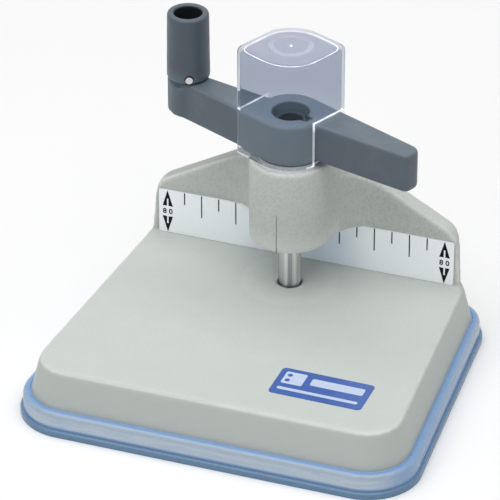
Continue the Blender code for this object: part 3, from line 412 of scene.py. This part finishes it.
def corner_arcs():
    """The round corners of the table's outline in mm: each one's middle, radius, start angle and sweep."""
    for i, (x, y, radius) in enumerate(TABLE_CORNERS):
        here = np.array((x, y))
        before, after = (np.array(TABLE_CORNERS[j % 4][:2]) - here for j in (i - 1, i + 1))
        before, after = before / np.hypot(*before), after / np.hypot(*after)
        half = math.acos(before @ after) / 2
        middle = here + (before + after) / np.hypot(*(before + after)) * radius / math.sin(half)
        first = here + before * radius / math.tan(half) - middle
        yield middle, radius, math.atan2(first[1], first[0]), math.pi - 2 * half


def outline_of_table(out, steps=12):
    """The table's outline moved out by some mm. Gives the points and the outward direction at each."""
    points, outward = [], []
    for middle, radius, start, sweep in corner_arcs():
        for turn in start + sweep * np.arange(steps + 1) / steps:
            way = np.array((math.cos(turn), math.sin(turn)))
            points.append(middle + way * (radius + out))
            outward.append(way)
    return np.array(points), np.array(outward)


def around(spot, middle, start):
    """A point's distance from a corner's middle in mm, and its angle past the start of the corner. A point a
    little before the start has an angle below zero."""
    x, y = spot.x / MM - middle[0], spot.y / MM - middle[1]
    return math.hypot(x, y), (math.atan2(y, x) - start + EARLY) % math.tau - EARLY


def with_round_corners(source):
    """A copy of the cover's mesh whose flat corner facets are split upright and moved out onto round arcs. A
    point's new distance from the corner's middle is its distance along the facet's own direction plus the
    arc's rise, which is the corner's radius times one less the cosine of half a facet."""
    shape = bmesh.new()
    shape.from_mesh(source)
    bmesh.ops.remove_doubles(shape, verts=shape.verts, dist=WELD)
    for middle, radius, start, sweep in corner_arcs():
        facet = sweep / CAD_CORNER_STEPS
        for k in range(CAD_CORNER_STEPS * SPLITS):
            if k % SPLITS == 0:
                continue
            turn = start + k * facet / SPLITS
            low, high = k // SPLITS * facet - FACET_SLACK, (k // SPLITS + 1) * facet + FACET_SLACK
            walls = []
            for face in shape.faces:
                if math.dist((face.verts[0].co.x / MM, face.verts[0].co.y / MM), middle) < CORNER_OUTSIDE:
                    places = [around(v.co, middle, start) for v in face.verts]
                    if all(reach > CORNER_INSIDE and low < angle < high for reach, angle in places):
                        walls.append(face)
            parts = set(walls) | {e for f in walls for e in f.edges} | {v for f in walls for v in f.verts}
            bmesh.ops.bisect_plane(shape, geom=list(parts), dist=1e-9, plane_co=(*mm(*middle), 0),
                                   plane_no=(-math.sin(turn), math.cos(turn), 0))
        for vert in shape.verts:
            reach, angle = around(vert.co, middle, start)
            if CORNER_INSIDE < reach < CORNER_OUTSIDE and 0 < angle < sweep:
                along = reach * math.cos(angle % facet - facet / 2)
                grow = (along + radius * (1 - math.cos(facet / 2))) / reach
                vert.co.x = middle[0] * MM + (vert.co.x - middle[0] * MM) * grow
                vert.co.y = middle[1] * MM + (vert.co.y - middle[1] * MM) * grow
    mesh = bpy.data.meshes.new("moulded_tray")
    shape.to_mesh(mesh)
    shape.free()
    return mesh


def rope(name, path, height, away, half_width, half_height, finish, body):
    """Sweeps an ellipse along a closed path at one height, in mm. Away is the outward direction at a point."""
    turns = np.arange(ROPE_SIDES) * math.tau / ROPE_SIDES
    rows = len(path)
    across = path[:, None] + away[:, None] * half_width * np.cos(turns)[None, :, None]
    upward = np.broadcast_to((height + half_height * np.sin(turns))[None, :, None], (rows, ROPE_SIDES, 1))
    faces = []
    for i in range(rows):
        this, other = i * ROPE_SIDES, (i + 1) % rows * ROPE_SIDES
        for j in range(ROPE_SIDES):
            beyond = (j + 1) % ROPE_SIDES
            faces.append((this + j, other + j, other + beyond, this + beyond))
    points = (np.concatenate([across, upward], 2).reshape(-1, 3) * MM).tolist()
    mesh = mesh_of(name, points, faces, finish)
    smooth(mesh)
    added(bpy.data.objects.new(name, mesh), body)


tray = added(bpy.data.objects.new("moulded_tray", with_round_corners(nodes["bottom_cover"].data)), "base")
eased(tray, tray_finish, TRAY_EASE)
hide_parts("bottom_cover")
lip_path, lip_away = outline_of_table(LIP_OUT)
rope("tray_lip", lip_path, LIP_Z, lip_away, LIP_HALF, LIP_HALF * LIP_FLATTENING, tray_finish, "base")


# Handle and knob: the CAD pieces with softly rounded edges, in slate grey moulded plastic.
# The plastic has a fine spark-eroded grain and smudges from hands. Painted light makes the faces that look
# up paler, and a painted highlight the outer edges. The knob is darker than the handle, and painted shade
# makes its bore nearly black.
SLATE, SLATE_LIGHT, SLATE_DEEP = (0.092, 0.120, 0.145), (0.170, 0.212, 0.242), (0.058, 0.080, 0.102)
KNOB_BORE_SHADE, KNOB_AT, KNOB_BAND, BORE_BAND = (0.006, 0.008, 0.010), mm(-32.22, 31.74), mm(71, 74), mm(3.95, 3.75)
SMUDGE, SPARK_GRAIN, SPARK_DEPTH, HANDLE_ROUGH = 6 * MM, 0.35 * MM, 0.02 * MM, (0, 1, 0.50, 0.40)
SMUDGE_BAND, EDGE_BAND, UPWARD_LIGHT_BAND = (0.4, 0.7), (0.12, 0.6), (0.3, 0.9)
SMUDGE_SHARE, EDGE_SHARE, UPWARD_LIGHT_SHARE, KNOB_SHARE = 0.10, 0.5, 0.28, 0.6
HANDLE_VOXEL, HANDLE_ROUNDS, KNOB_VOXEL, KNOB_ROUNDS = 0.33 * MM, 4, 0.27 * MM, 3
moulded = Finish("handle_plastic", Roughness=0.45, Specular_IOR_Level=0.4)
smudge = moulded.spread(moulded.noise(SMUDGE, 3), *SMUDGE_BAND)
# Painted highlight: the outer edges are paler.
edge = moulded.spread(moulded.stored("bend"), *EDGE_BAND)
# Painted light: faces that look up are paler.
upward_light = moulded.spread(moulded.stored("up"), *UPWARD_LIGHT_BAND)
knob_share = moulded.spread(moulded.along(2), *KNOB_BAND)
slate = moulded.mix(edge * EDGE_SHARE + smudge * SMUDGE_SHARE + upward_light * UPWARD_LIGHT_SHARE, SLATE, SLATE_LIGHT)
slate = moulded.mix(knob_share * KNOB_SHARE, slate, SLATE_DEEP)
# Painted shade: the knob's bore is nearly black.
in_bore = moulded.spread(moulded.from_upright(*KNOB_AT), *BORE_BAND) * knob_share
moulded.set("Base Color", moulded.mix(in_bore, slate, KNOB_BORE_SHADE))
moulded.set("Roughness", moulded.spread(smudge, *HANDLE_ROUGH))
moulded.bump(moulded.noise(SPARK_GRAIN, 2), SPARK_DEPTH)
softened("moulded_handle", "handle", "crank", HANDLE_VOXEL, HANDLE_ROUNDS, moulded)
softened("moulded_knob", "crank_knob", "knob", KNOB_VOXEL, KNOB_ROUNDS, moulded)


# Chip cap: the CAD cap itself in clear lilac plastic, which bends light a little. It glows faintly with
# a painted reflection of the bright surround, more on its top and its lower part, and a painted highlight
# makes a ring on its top. Its glossy skin shows most where a face is seen edge on. Its cut edges and gate
# mark are frosted and glow white as painted highlights, and a glowing white line, a painted highlight,
# runs round its ceiling.
CAP_TINT, CAP_VEIL_GLOW, CAP_TOP_GLOW = (0.580, 0.605, 0.676), (0.008, 0.011, 0.012), (0.085, 0.085, 0.100)
CAP_LOW_GLOW, CAP_RING_GLOW, FLOW_GAIN = (0.036, 0.042, 0.039), (0.30, 0.30, 0.33), 1.4
FLOW, FLOW_DEPTH, FLOW_STRENGTH, CAP_ROUGH = 7 * MM, 0.02 * MM, 0.15, (0.3, 0.7, 0.02, 0.06)
FROST_GLOW, FROST_GLOW_DIM, FROST_TINT = (0.80, 0.80, 0.83), (0.22, 0.22, 0.25), (0.6, 0.6, 0.63)
FROST_GRAIN, FROST_GLOW_BAND, FROST_ROUGH = 5 * MM, (0.38, 0.62), (0.3, 0.7, 0.3, 0.5)
CAP_TOP, SLOT_TOP, CAP_WALL_IN, HANDLE_TURN = 89.4, 70.2, 9.2, math.radians(-24.5)
CAP_TOP_BAND, LOW_GLOW_BAND = mm(CAP_TOP - 0.8, CAP_TOP - 0.2), mm(73, 68.5)
RING_IN_BAND, RING_OUT_BAND = mm(4.5, 4.9), mm(6.1, 5.7)
SKIN_BAND, SKIN_FACING, SKIN_EDGE_ON = (0.25, 0.9), 0.06, 0.8
CAP_EASE, CUT_FACING, SLOT_MARGIN, LEVEL_MARGIN = 0.24 * MM, 0.9, 0.1, 0.02
RIM_OUT, RIM_DOWN, RIM_HALF_WIDTH, RIM_HALF_HEIGHT = 0.60, 1.35, 0.10, 0.08
GATE_R, GATE_DOWN = 0.36 * MM, 0.38
clear = Finish("clear_plastic", Base_Color=(*CAP_TINT, 1), IOR=1.08, Transmission_Weight=1.0,
               Coat_IOR=1.5, Coat_Roughness=0.03, Emission_Strength=1.0)
flow = clear.noise(FLOW, 2)
# Painted light: the cap glows with a painted reflection, more on its top and lower part, and a painted
# highlight ring.
top_share = clear.spread(clear.along(2), *CAP_TOP_BAND)
from_axis = clear.from_upright(0, DRILL_Y)
ring_share = clear.spread(from_axis, *RING_IN_BAND) * clear.spread(from_axis, *RING_OUT_BAND) * top_share
low_glow_share = clear.spread(clear.along(2), *LOW_GLOW_BAND)
painted_glow = clear.mix(low_glow_share, clear.mix(flow, CAP_VEIL_GLOW, [c * FLOW_GAIN for c in CAP_VEIL_GLOW]), CAP_LOW_GLOW)
painted_glow = clear.mix(top_share, painted_glow, CAP_TOP_GLOW)
clear.set("Emission Color", clear.mix(ring_share * flow, painted_glow, CAP_RING_GLOW))
clear.set("Roughness", clear.spread(flow, *CAP_ROUGH))
clear.bump(flow, FLOW_DEPTH, FLOW_STRENGTH)
edge_on = clear.node("ShaderNodeLayerWeight", {"Blend": 0.5}, output="Facing")
clear.set("Coat Weight", clear.spread(edge_on, *SKIN_BAND, SKIN_FACING, SKIN_EDGE_ON))
# Painted highlight: the cut edges are frosted and glow white.
frosted_highlight = Finish("frosted_edge_highlight", Base_Color=(*FROST_TINT, 1), IOR=1.10, Transmission_Weight=0.3,
                 Emission_Strength=1.0)
frost = frosted_highlight.noise(FROST_GRAIN, 3)
frosted_highlight.set("Emission Color", frosted_highlight.mix(frosted_highlight.spread(frost, *FROST_GLOW_BAND), FROST_GLOW, FROST_GLOW_DIM))
frosted_highlight.set("Roughness", frosted_highlight.spread(frost, *FROST_ROUGH))
cap = nodes["chip_cap"]
eased(cap, clear, CAP_EASE)
cap.visible_shadow = False
cap.data.materials.append(frosted_highlight.material)
cap.modifiers["ease"].material = 1
arm_x, arm_y = math.cos(HANDLE_TURN), math.sin(HANDLE_TURN)
for face in cap.data.polygons:
    reach = (face.center.x * arm_x + (face.center.y - DRILL_Y) * arm_y) / MM
    slot_side = abs(face.normal.y * arm_x - face.normal.x * arm_y) if reach > 0 else 0
    cut_face = max(slot_side, -face.normal.z) > CUT_FACING
    if abs(reach) > CAP_WALL_IN and face.center.z < (SLOT_TOP + SLOT_MARGIN) * MM and cut_face:
        face.material_index = 1


def hull_of_level(name, low, high, inward):
    """The outline, in mm, of a node's points between two heights: their hull, moved in towards its middle. It
    runs anticlockwise."""
    flat = [(v.co.x / MM, v.co.y / MM) for v in nodes[name].data.vertices if low * MM < v.co.z < high * MM]
    points = np.array([flat[i] for i in convex_hull_2d(flat)])
    middle = (points.min(0) + points.max(0)) / 2
    out = points - middle
    points = middle + out * (1 - inward / np.hypot(out[:, 0], out[:, 1])[:, None])
    return points if np.cross(points[1] - points[0], points[2] - points[1]) >= 0 else points[::-1]


def rounded_off(path, count=240, reach=6, rounds=3):
    """A closed path spread evenly over more points, then averaged with its neighbours so that its corners are
    soft. Gives the points and the outward direction at each."""
    ends = np.vstack([path, path[:1]])
    run = np.r_[0, np.cumsum(np.hypot(*np.diff(ends, axis=0).T))]
    places = np.linspace(0, run[-1], count, endpoint=False)
    path = np.stack([np.interp(places, run, ends[:, k]) for k in (0, 1)], 1)
    for _ in range(rounds):
        path = sum(np.roll(path, shift, 0) for shift in range(-reach, reach + 1)) / (2 * reach + 1)
    ahead = np.roll(path, -1, 0) - np.roll(path, 1, 0)
    return path, np.stack([ahead[:, 1], -ahead[:, 0]], 1) / np.hypot(ahead[:, 0], ahead[:, 1])[:, None]


def ball(name, middle, radius, finish, sides=16, levels=8):
    """A sphere in metres: a pole, rings of points below it, and the other pole."""
    x, y, z = middle
    points = [(x, y, z + radius)]
    for down in math.pi * np.arange(1, levels) / levels:
        across, height = radius * math.sin(down), z + radius * math.cos(down)
        points += [(x + across * math.cos(turn), y + across * math.sin(turn), height)
                   for turn in math.tau * np.arange(sides) / sides]
    points.append((x, y, z - radius))
    last, faces = len(points) - 1, []
    for this in range(sides):
        beyond = (this + 1) % sides
        faces += [(0, 1 + this, 1 + beyond), (last - sides + this, last, last - sides + beyond)]
        for first in range(1, last - sides, sides):
            faces.append((first + this, first + sides + this, first + sides + beyond, first + beyond))
    return mesh_of(name, points, faces, finish)


# Painted highlights: a glowing white line round the cap's ceiling, and a glowing bead at its gate mark.
rim_path, rim_away = rounded_off(hull_of_level("chip_cap", CAP_TOP - LEVEL_MARGIN, CAP_TOP + LEVEL_MARGIN,
                                               -RIM_OUT))
rope("cap_rim_highlight", rim_path, CAP_TOP - RIM_DOWN, rim_away, RIM_HALF_WIDTH, RIM_HALF_HEIGHT, frosted_highlight, "cap")
bead = ball("cap_gate_mark", (0, DRILL_Y, (CAP_TOP - GATE_DOWN) * MM), GATE_R, frosted_highlight)
added(bpy.data.objects.new("cap_gate_mark", bead), "cap")


# Drill: a turned profile of (radius, height) points in ground steel.
# Four dark bands along its axis, turned towards the side it is seen from, are painted reflections; streaks
# between them are grinding marks.
STEEL, STEEL_DARK = (0.97, 0.97, 0.98), (0.46, 0.48, 0.51)
STREAK_LUMPS, STREAK_DEPTH, STREAK_FINE = (330, 330, 10), 0.004 * MM, 0.6
STREAK_BAND, STREAK_SHARE, DRILL_ROUGH = (0.50, 0.62), 0.5, (0.3, 0.7, 0.12, 0.24)
REFLECTION_BAND_COUNT, REFLECTION_BAND_TURN, REFLECTION_BAND_EDGES = 4.0, math.radians(20), (0.45, 0.9)
DRILL_STEPS, DRILL_PROFILE = 128, [(2.35, 17.6), (2.99, 15.4), (3.05, 15.4), (3.1, 15.5), (3.1, 43.5),
                                   (3.0, 43.6), (2.4, 43.6), (2.35, 43.5)]
steel = Finish("drill_steel", Metallic=1.0, Roughness=0.16)
streaks = steel.drawn_out(STREAK_LUMPS, STREAK_FINE)
drill_x = steel.along(0)
# Painted reflections: dark bands round the drill, lined up with the side it is seen from.
turns_round = (drill_x.sum("ARCTAN2", drill_x, DRILL_Y - steel.along(1)) - REFLECTION_BAND_TURN) * REFLECTION_BAND_COUNT
reflection_band = steel.spread(turns_round.sum("COSINE", turns_round), *REFLECTION_BAND_EDGES)
reflections_and_streaks = reflection_band.sum("MAXIMUM", reflection_band, steel.spread(streaks, *STREAK_BAND) * STREAK_SHARE)
steel.set("Base Color", steel.mix(reflections_and_streaks, STEEL, STEEL_DARK))
steel.set("Roughness", steel.spread(streaks, *DRILL_ROUGH))
steel.bump(streaks, STREAK_DEPTH)


def turned(name, profile, steps, finish, body):
    """Sweeps closed (radius, height) points in mm round the drill axis."""
    radius, height = (np.repeat(np.array(profile, float)[:, k][:, None], steps, 1) for k in (0, 1))
    turns = np.arange(steps) * math.tau / steps
    place = np.stack([radius * np.cos(turns), radius * np.sin(turns), height], 2).reshape(-1, 3) * MM
    place[:, 1] += DRILL_Y
    faces = []
    for i in range(len(profile)):
        this, other = i * steps, (i + 1) % len(profile) * steps
        faces += [(this + j, this + (j + 1) % steps, other + (j + 1) % steps, other + j) for j in range(steps)]
    mesh = mesh_of(name, place.tolist(), faces, finish)
    smooth(mesh)
    mesh.set_sharp_from_angle(angle=EASE_ANGLE)
    return added(bpy.data.objects.new(name, mesh), body)


tube = turned("ground_drill", DRILL_PROFILE, DRILL_STEPS, steel, "spindle")
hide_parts("drill_tube")


# Feed screw: the CAD one with its thread cut into the outer wall.
# It is oiled slate-dark steel outside, and painted shade makes its bore nearly black.
THREAD_STARTS, THREAD_LEAD, THREAD_DEPTH, THREAD_LOW, THREAD_HIGH = 3, 4.5, 0.45, 38.5, 66.2
SPINDLE_R, SPINDLE_SKIN, SPINDLE_VOXEL, SPINDLE_ROUNDS = 4.8, 0.12, 0.26 * MM, 1
OUTER_BAND, SWARF, OUTER_METAL = mm(3.15, 3.45), 0.5 * MM, 0.35
BORE_ROUGH, OUTER_ROUGH = 0.5, (0.3, 0.7, 0.28, 0.42)
SCREW_BORE_SHADE, OILED, OILED_DARK = (0.003, 0.003, 0.004), (0.050, 0.066, 0.082), (0.032, 0.043, 0.055)


def threaded(place):
    """Lowers the outer wall in a V, whose depth falls off with the distance from each start's middle."""
    x, y, z = place[:, 0] / MM, (place[:, 1] - DRILL_Y) / MM, place[:, 2] / MM
    radius = np.hypot(x, y)
    share = (z / THREAD_LEAD - np.arctan2(y, x) / math.tau) * THREAD_STARTS % 1
    ends = np.clip(np.minimum(z - THREAD_LOW, THREAD_HIGH - z), 0, 1)
    cut = THREAD_DEPTH * (1 - 2 * np.abs(share - 0.5)) * ends * (radius > SPINDLE_R - SPINDLE_SKIN)
    fall = 1 - cut / np.maximum(radius, 0.1)
    return np.stack([x * fall, y * fall + DRILL_Y / MM, z], 1) * MM


cut_steel = Finish("cut_steel", Specular_IOR_Level=0.12)
swarf = cut_steel.noise(SWARF, 3)
# Painted shade: inside its outer wall the bore is nearly black.
outside = cut_steel.spread(cut_steel.from_upright(0, DRILL_Y), *OUTER_BAND)
cut_steel.set("Base Color", cut_steel.mix(outside, SCREW_BORE_SHADE, cut_steel.mix(swarf, OILED, OILED_DARK)))
cut_steel.set("Metallic", outside * OUTER_METAL)
cut_steel.set("Roughness", (1 - outside) * BORE_ROUGH + cut_steel.spread(swarf, *OUTER_ROUGH))
softened("threaded_feed_screw", "feed_screw", "spindle", SPINDLE_VOXEL, SPINDLE_ROUNDS,
         cut_steel, shape_it=threaded)


# Gauge plate: satin metal with a brushed grain along X, a painted reflection of the boss as a cooler tone
# beside it, and a faint glow all over that is painted light.
# Its ticks, arrows and numbers are thin closed prints on its front, and the boss has a faint index line.
PLATE, PLATE_COOL = (0.95, 0.98, 1.0), (0.50, 0.66, 0.82)
PLATE_PAINTED_GLOW, PLATE_PAINTED_GLOW_HIGH = (0.07, 0.075, 0.08), (0.11, 0.12, 0.125)
BRUSH_LUMPS, BRUSH_DEPTH, PLATE_EASE = (60, 400, 6000), 0.003 * MM, 0.1 * MM
BRUSH_BAND, BRUSH_SHARE, PLATE_ROUGH = (0.3, 0.7), 0.10, (0.3, 0.7, 0.34, 0.44)
COOL_AT, COOL_BAND, COOL_SHARE = (0, PLATE_FRONT, 20 * MM), mm(22, 8), 0.62
PLATE_LOW, PLATE_HIGH = 17.2, 30.7
INK, INK_PALE, INK_GRAIN = (0.004, 0.005, 0.008), (0.010, 0.012, 0.017), 0.6 * MM
FAINT, FAINT_PALE, FAINT_GRAIN = (0.19, 0.21, 0.205), (0.31, 0.33, 0.32), 0.8 * MM
PRINT_DEPTH, PRINT_LIFT = 0.05, 0.01
TICKS, LONG_TICK, SHORT_TICK, TICK_HALF, TICK_TOP = (10, 15, 20, 25, 30, 35), 7.0, 3.9, 0.16, 0.12
ARROWS_AT, ARROW_TOP, ARROW_FOOT = (-40, 40), PLATE_HIGH - 0.18, PLATE_LOW + 0.12
ARROW_HALF = [(0, 0), (0, 2.6), (0.24, 2.8), (0.24, 4.9), (1.5, 5.0), (0.78, 2.6)]
NUMBER_SIZE, NUMBER_LOW, NUMBER_SINK, NUMBER_GAP, NUMBER_BOLD = 2.2, 23.15, 0.02, 1.6, 0.05
BOSS_R, LINE_HALF, LINE_LOW, LINE_HIGH, LINE_DEPTH, LINE_SINK = 11.1, 0.10, 31.9, 43.3, 0.12, 0.10
satin = Finish("plate_metal", Metallic=0.05, Roughness=0.34, Specular_IOR_Level=0.6, Emission_Strength=1.0)
streak = satin.drawn_out(BRUSH_LUMPS)
# Painted reflection: the plate is cooler beside the boss.
beside = satin.node("ShaderNodeVectorMath", {0: satin.place, 1: COOL_AT}, operation="DISTANCE", output="Value")
plate_tone = satin.mix(satin.spread(beside, *COOL_BAND) * COOL_SHARE, PLATE, PLATE_COOL)
satin.set("Base Color", satin.mix(satin.spread(streak, *BRUSH_BAND) * BRUSH_SHARE, plate_tone, PLATE_COOL))
# Painted light: the plate glows faintly all over.
satin.set("Emission Color", satin.mix(streak, PLATE_PAINTED_GLOW, PLATE_PAINTED_GLOW_HIGH))
satin.set("Roughness", satin.spread(streak, *PLATE_ROUGH))
satin.bump(streak, BRUSH_DEPTH)
eased(nodes["gauge_plate"], satin, PLATE_EASE)
ink = Finish("print_ink", Roughness=0.7, Specular_IOR_Level=0.12)
ink.set("Base Color", ink.mix(ink.noise(INK_GRAIN), INK, INK_PALE))
faint_ink = Finish("faint_ink", Roughness=0.6)
faint_ink.set("Base Color", faint_ink.mix(faint_ink.noise(FAINT_GRAIN), FAINT, FAINT_PALE))


def prism(outlines, depth):
    """Closed prisms of flat outlines in mm, lists of (across, up), with their front face towards -depth."""
    points, faces = [], []
    for outline in outlines:
        n, first = len(outline), len(points)
        points += [(x, -depth, z) for x, z in outline] + [(x, 0, z) for x, z in outline]
        faces += [tuple(first + i for i in range(n)), tuple(first + n + i for i in reversed(range(n)))]
        faces += [(first + i, first + n + i, first + n + (i + 1) % n, first + (i + 1) % n) for i in range(n)]
    return points, faces


def printed(name, points, faces, place, slot, finish):
    """A print on the base, of points in mm that are moved by the place."""
    mesh = mesh_of(name, ((np.array(points, float) + place) * MM).tolist(), faces, finish)
    shape = bmesh.new()
    shape.from_mesh(mesh)
    bmesh.ops.recalc_face_normals(shape, faces=shape.faces)
    shape.to_mesh(mesh)
    shape.free()
    added(bpy.data.objects.new(name, mesh), "base")


def bar(x0, x1, z0, z1):
    return [(x0, z0), (x1, z0), (x1, z1), (x0, z1)]


marks = []
for x in TICKS:
    low = PLATE_HIGH - (LONG_TICK if x % 10 == 0 else SHORT_TICK)
    marks += [bar(s * x - TICK_HALF, s * x + TICK_HALF, low, PLATE_HIGH - TICK_TOP) for s in (-1, 1)]
for side in ARROWS_AT:
    for tip, way in ((ARROW_TOP, -1), (ARROW_FOOT, 1)):
        marks += [[(side + out * hand, tip + run * way) for out, run in ARROW_HALF] for hand in (-1, 1)]
printed("gauge_marks", *prism(marks, PRINT_DEPTH), (0, PLATE_FRONT / MM + PRINT_LIFT, 0), "plate_metal", ink)
printed("boss_line", *prism([bar(-LINE_HALF, LINE_HALF, LINE_LOW, LINE_HIGH)], LINE_DEPTH),
        (0, DRILL_Y / MM - BOSS_R + LINE_SINK, 0), "casting_paint", faint_ink)

for side, label in zip(ARROWS_AT, ("left", "right")):
    words = bpy.data.curves.new("number", "FONT")
    words.body, words.size, words.align_x, words.extrude = "80", NUMBER_SIZE, "CENTER", PRINT_DEPTH / 2
    words.space_character, words.offset = NUMBER_GAP, NUMBER_BOLD
    drawn = added(bpy.data.objects.new("number", words))
    shape = bpy.data.meshes.new_from_object(drawn.evaluated_get(bpy.context.evaluated_depsgraph_get()))
    bpy.data.objects.remove(drawn)
    printed("gauge_number_" + label, [(v.co.x, -v.co.z, v.co.y) for v in shape.vertices],
            [tuple(p.vertices) for p in shape.polygons],
            (side, PLATE_FRONT / MM - NUMBER_SINK, NUMBER_LOW), "plate_metal", ink)


# Table label: a thin blue sticker with a pale square and plain pale bars, and no words.
# It lies on the table's front right corner, turned with it. A row of a shape gives its two X limits, its two Y
# limits and its corner radius in mm, from the sticker's middle.
LABEL_AT, LABEL_TURN, LABEL_L, LABEL_W = (25.8, -24.8), math.radians(-0.8), 25.6, 12.4
HALF_L, HALF_W = LABEL_L / 2, LABEL_W / 2
LABEL_T, LABEL_SINK, INK_T, INK_SINK, HOLE_T, HOLE_SINK = 0.10, 0.02, 0.04, 0.03, 0.03, 0.05
BLUE, BLUE_PALE, BLUE_GRAIN = (0.034, 0.098, 0.37), (0.050, 0.128, 0.43), 3 * MM
PALE, PALE_DIM, PALE_GRAIN = (0.58, 0.67, 0.83), (0.51, 0.60, 0.79), 1.5 * MM
LABEL_EDGE = (-HALF_L, HALF_L, -HALF_W, HALF_W, 1.2)
PALE_SQUARE = (-HALF_L + 1.6, -HALF_L + 7.4, -0.9, 4.7, 0.5)
WIDE_BAR = (-HALF_L + 9.2, HALF_L - 1.8, 0.4, 3.6, 0.6)
THIN_BAR = (-HALF_L + 1.6, HALF_L - 1.8, -3.9, -2.7, 0.5)
DOTS = [(-HALF_L + 2.3, -HALF_L + 3.7, y - 0.7, y + 0.7, 0.699) for y in (0.7, 3.1)]
blue_film = Finish("label_blue", Roughness=0.35, Coat_Weight=0.3)
blue_film.set("Base Color", blue_film.mix(blue_film.noise(BLUE_GRAIN, 3), BLUE, BLUE_PALE))
pale_film = Finish("label_pale", Roughness=0.40)
pale_film.set("Base Color", pale_film.mix(pale_film.noise(PALE_GRAIN, 3), PALE, PALE_DIM))


def rounded_bar(x0, x1, y0, y1, radius, steps=6):
    """A rectangle's outline with round corners, anticlockwise."""
    corners = ((x1 - radius, y1 - radius), (x0 + radius, y1 - radius), (x0 + radius, y0 + radius),
               (x1 - radius, y0 + radius))
    outline = []
    for quarter, (x, y) in enumerate(corners):
        for k in range(steps + 1):
            turn = (quarter + k / steps) * math.pi / 2
            outline.append((x + radius * math.cos(turn), y + radius * math.sin(turn)))
    return outline


def laid(name, bars, depth, height, finish):
    """Flat prisms on the table at the label's place and turn. Heights are above the table top."""
    cos, sin = math.cos(LABEL_TURN), math.sin(LABEL_TURN)
    outlines = [[(x * cos - y * sin, x * sin + y * cos) for x, y in rounded_bar(*limits)] for limits in bars]
    points, faces = prism(outlines, depth)
    printed(name, [(x, z, -y) for x, y, z in points], faces, (*LABEL_AT, TABLE_TOP / MM + height),
            "casting_paint", finish)


laid("label_film", [LABEL_EDGE], LABEL_T, -LABEL_SINK, blue_film)
laid("label_marks", [PALE_SQUARE, WIDE_BAR, THIN_BAR], INK_T, LABEL_T - INK_SINK, pale_film)
laid("label_holes", DOTS, HOLE_T, LABEL_T + INK_T - HOLE_SINK, blue_film)

low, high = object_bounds()
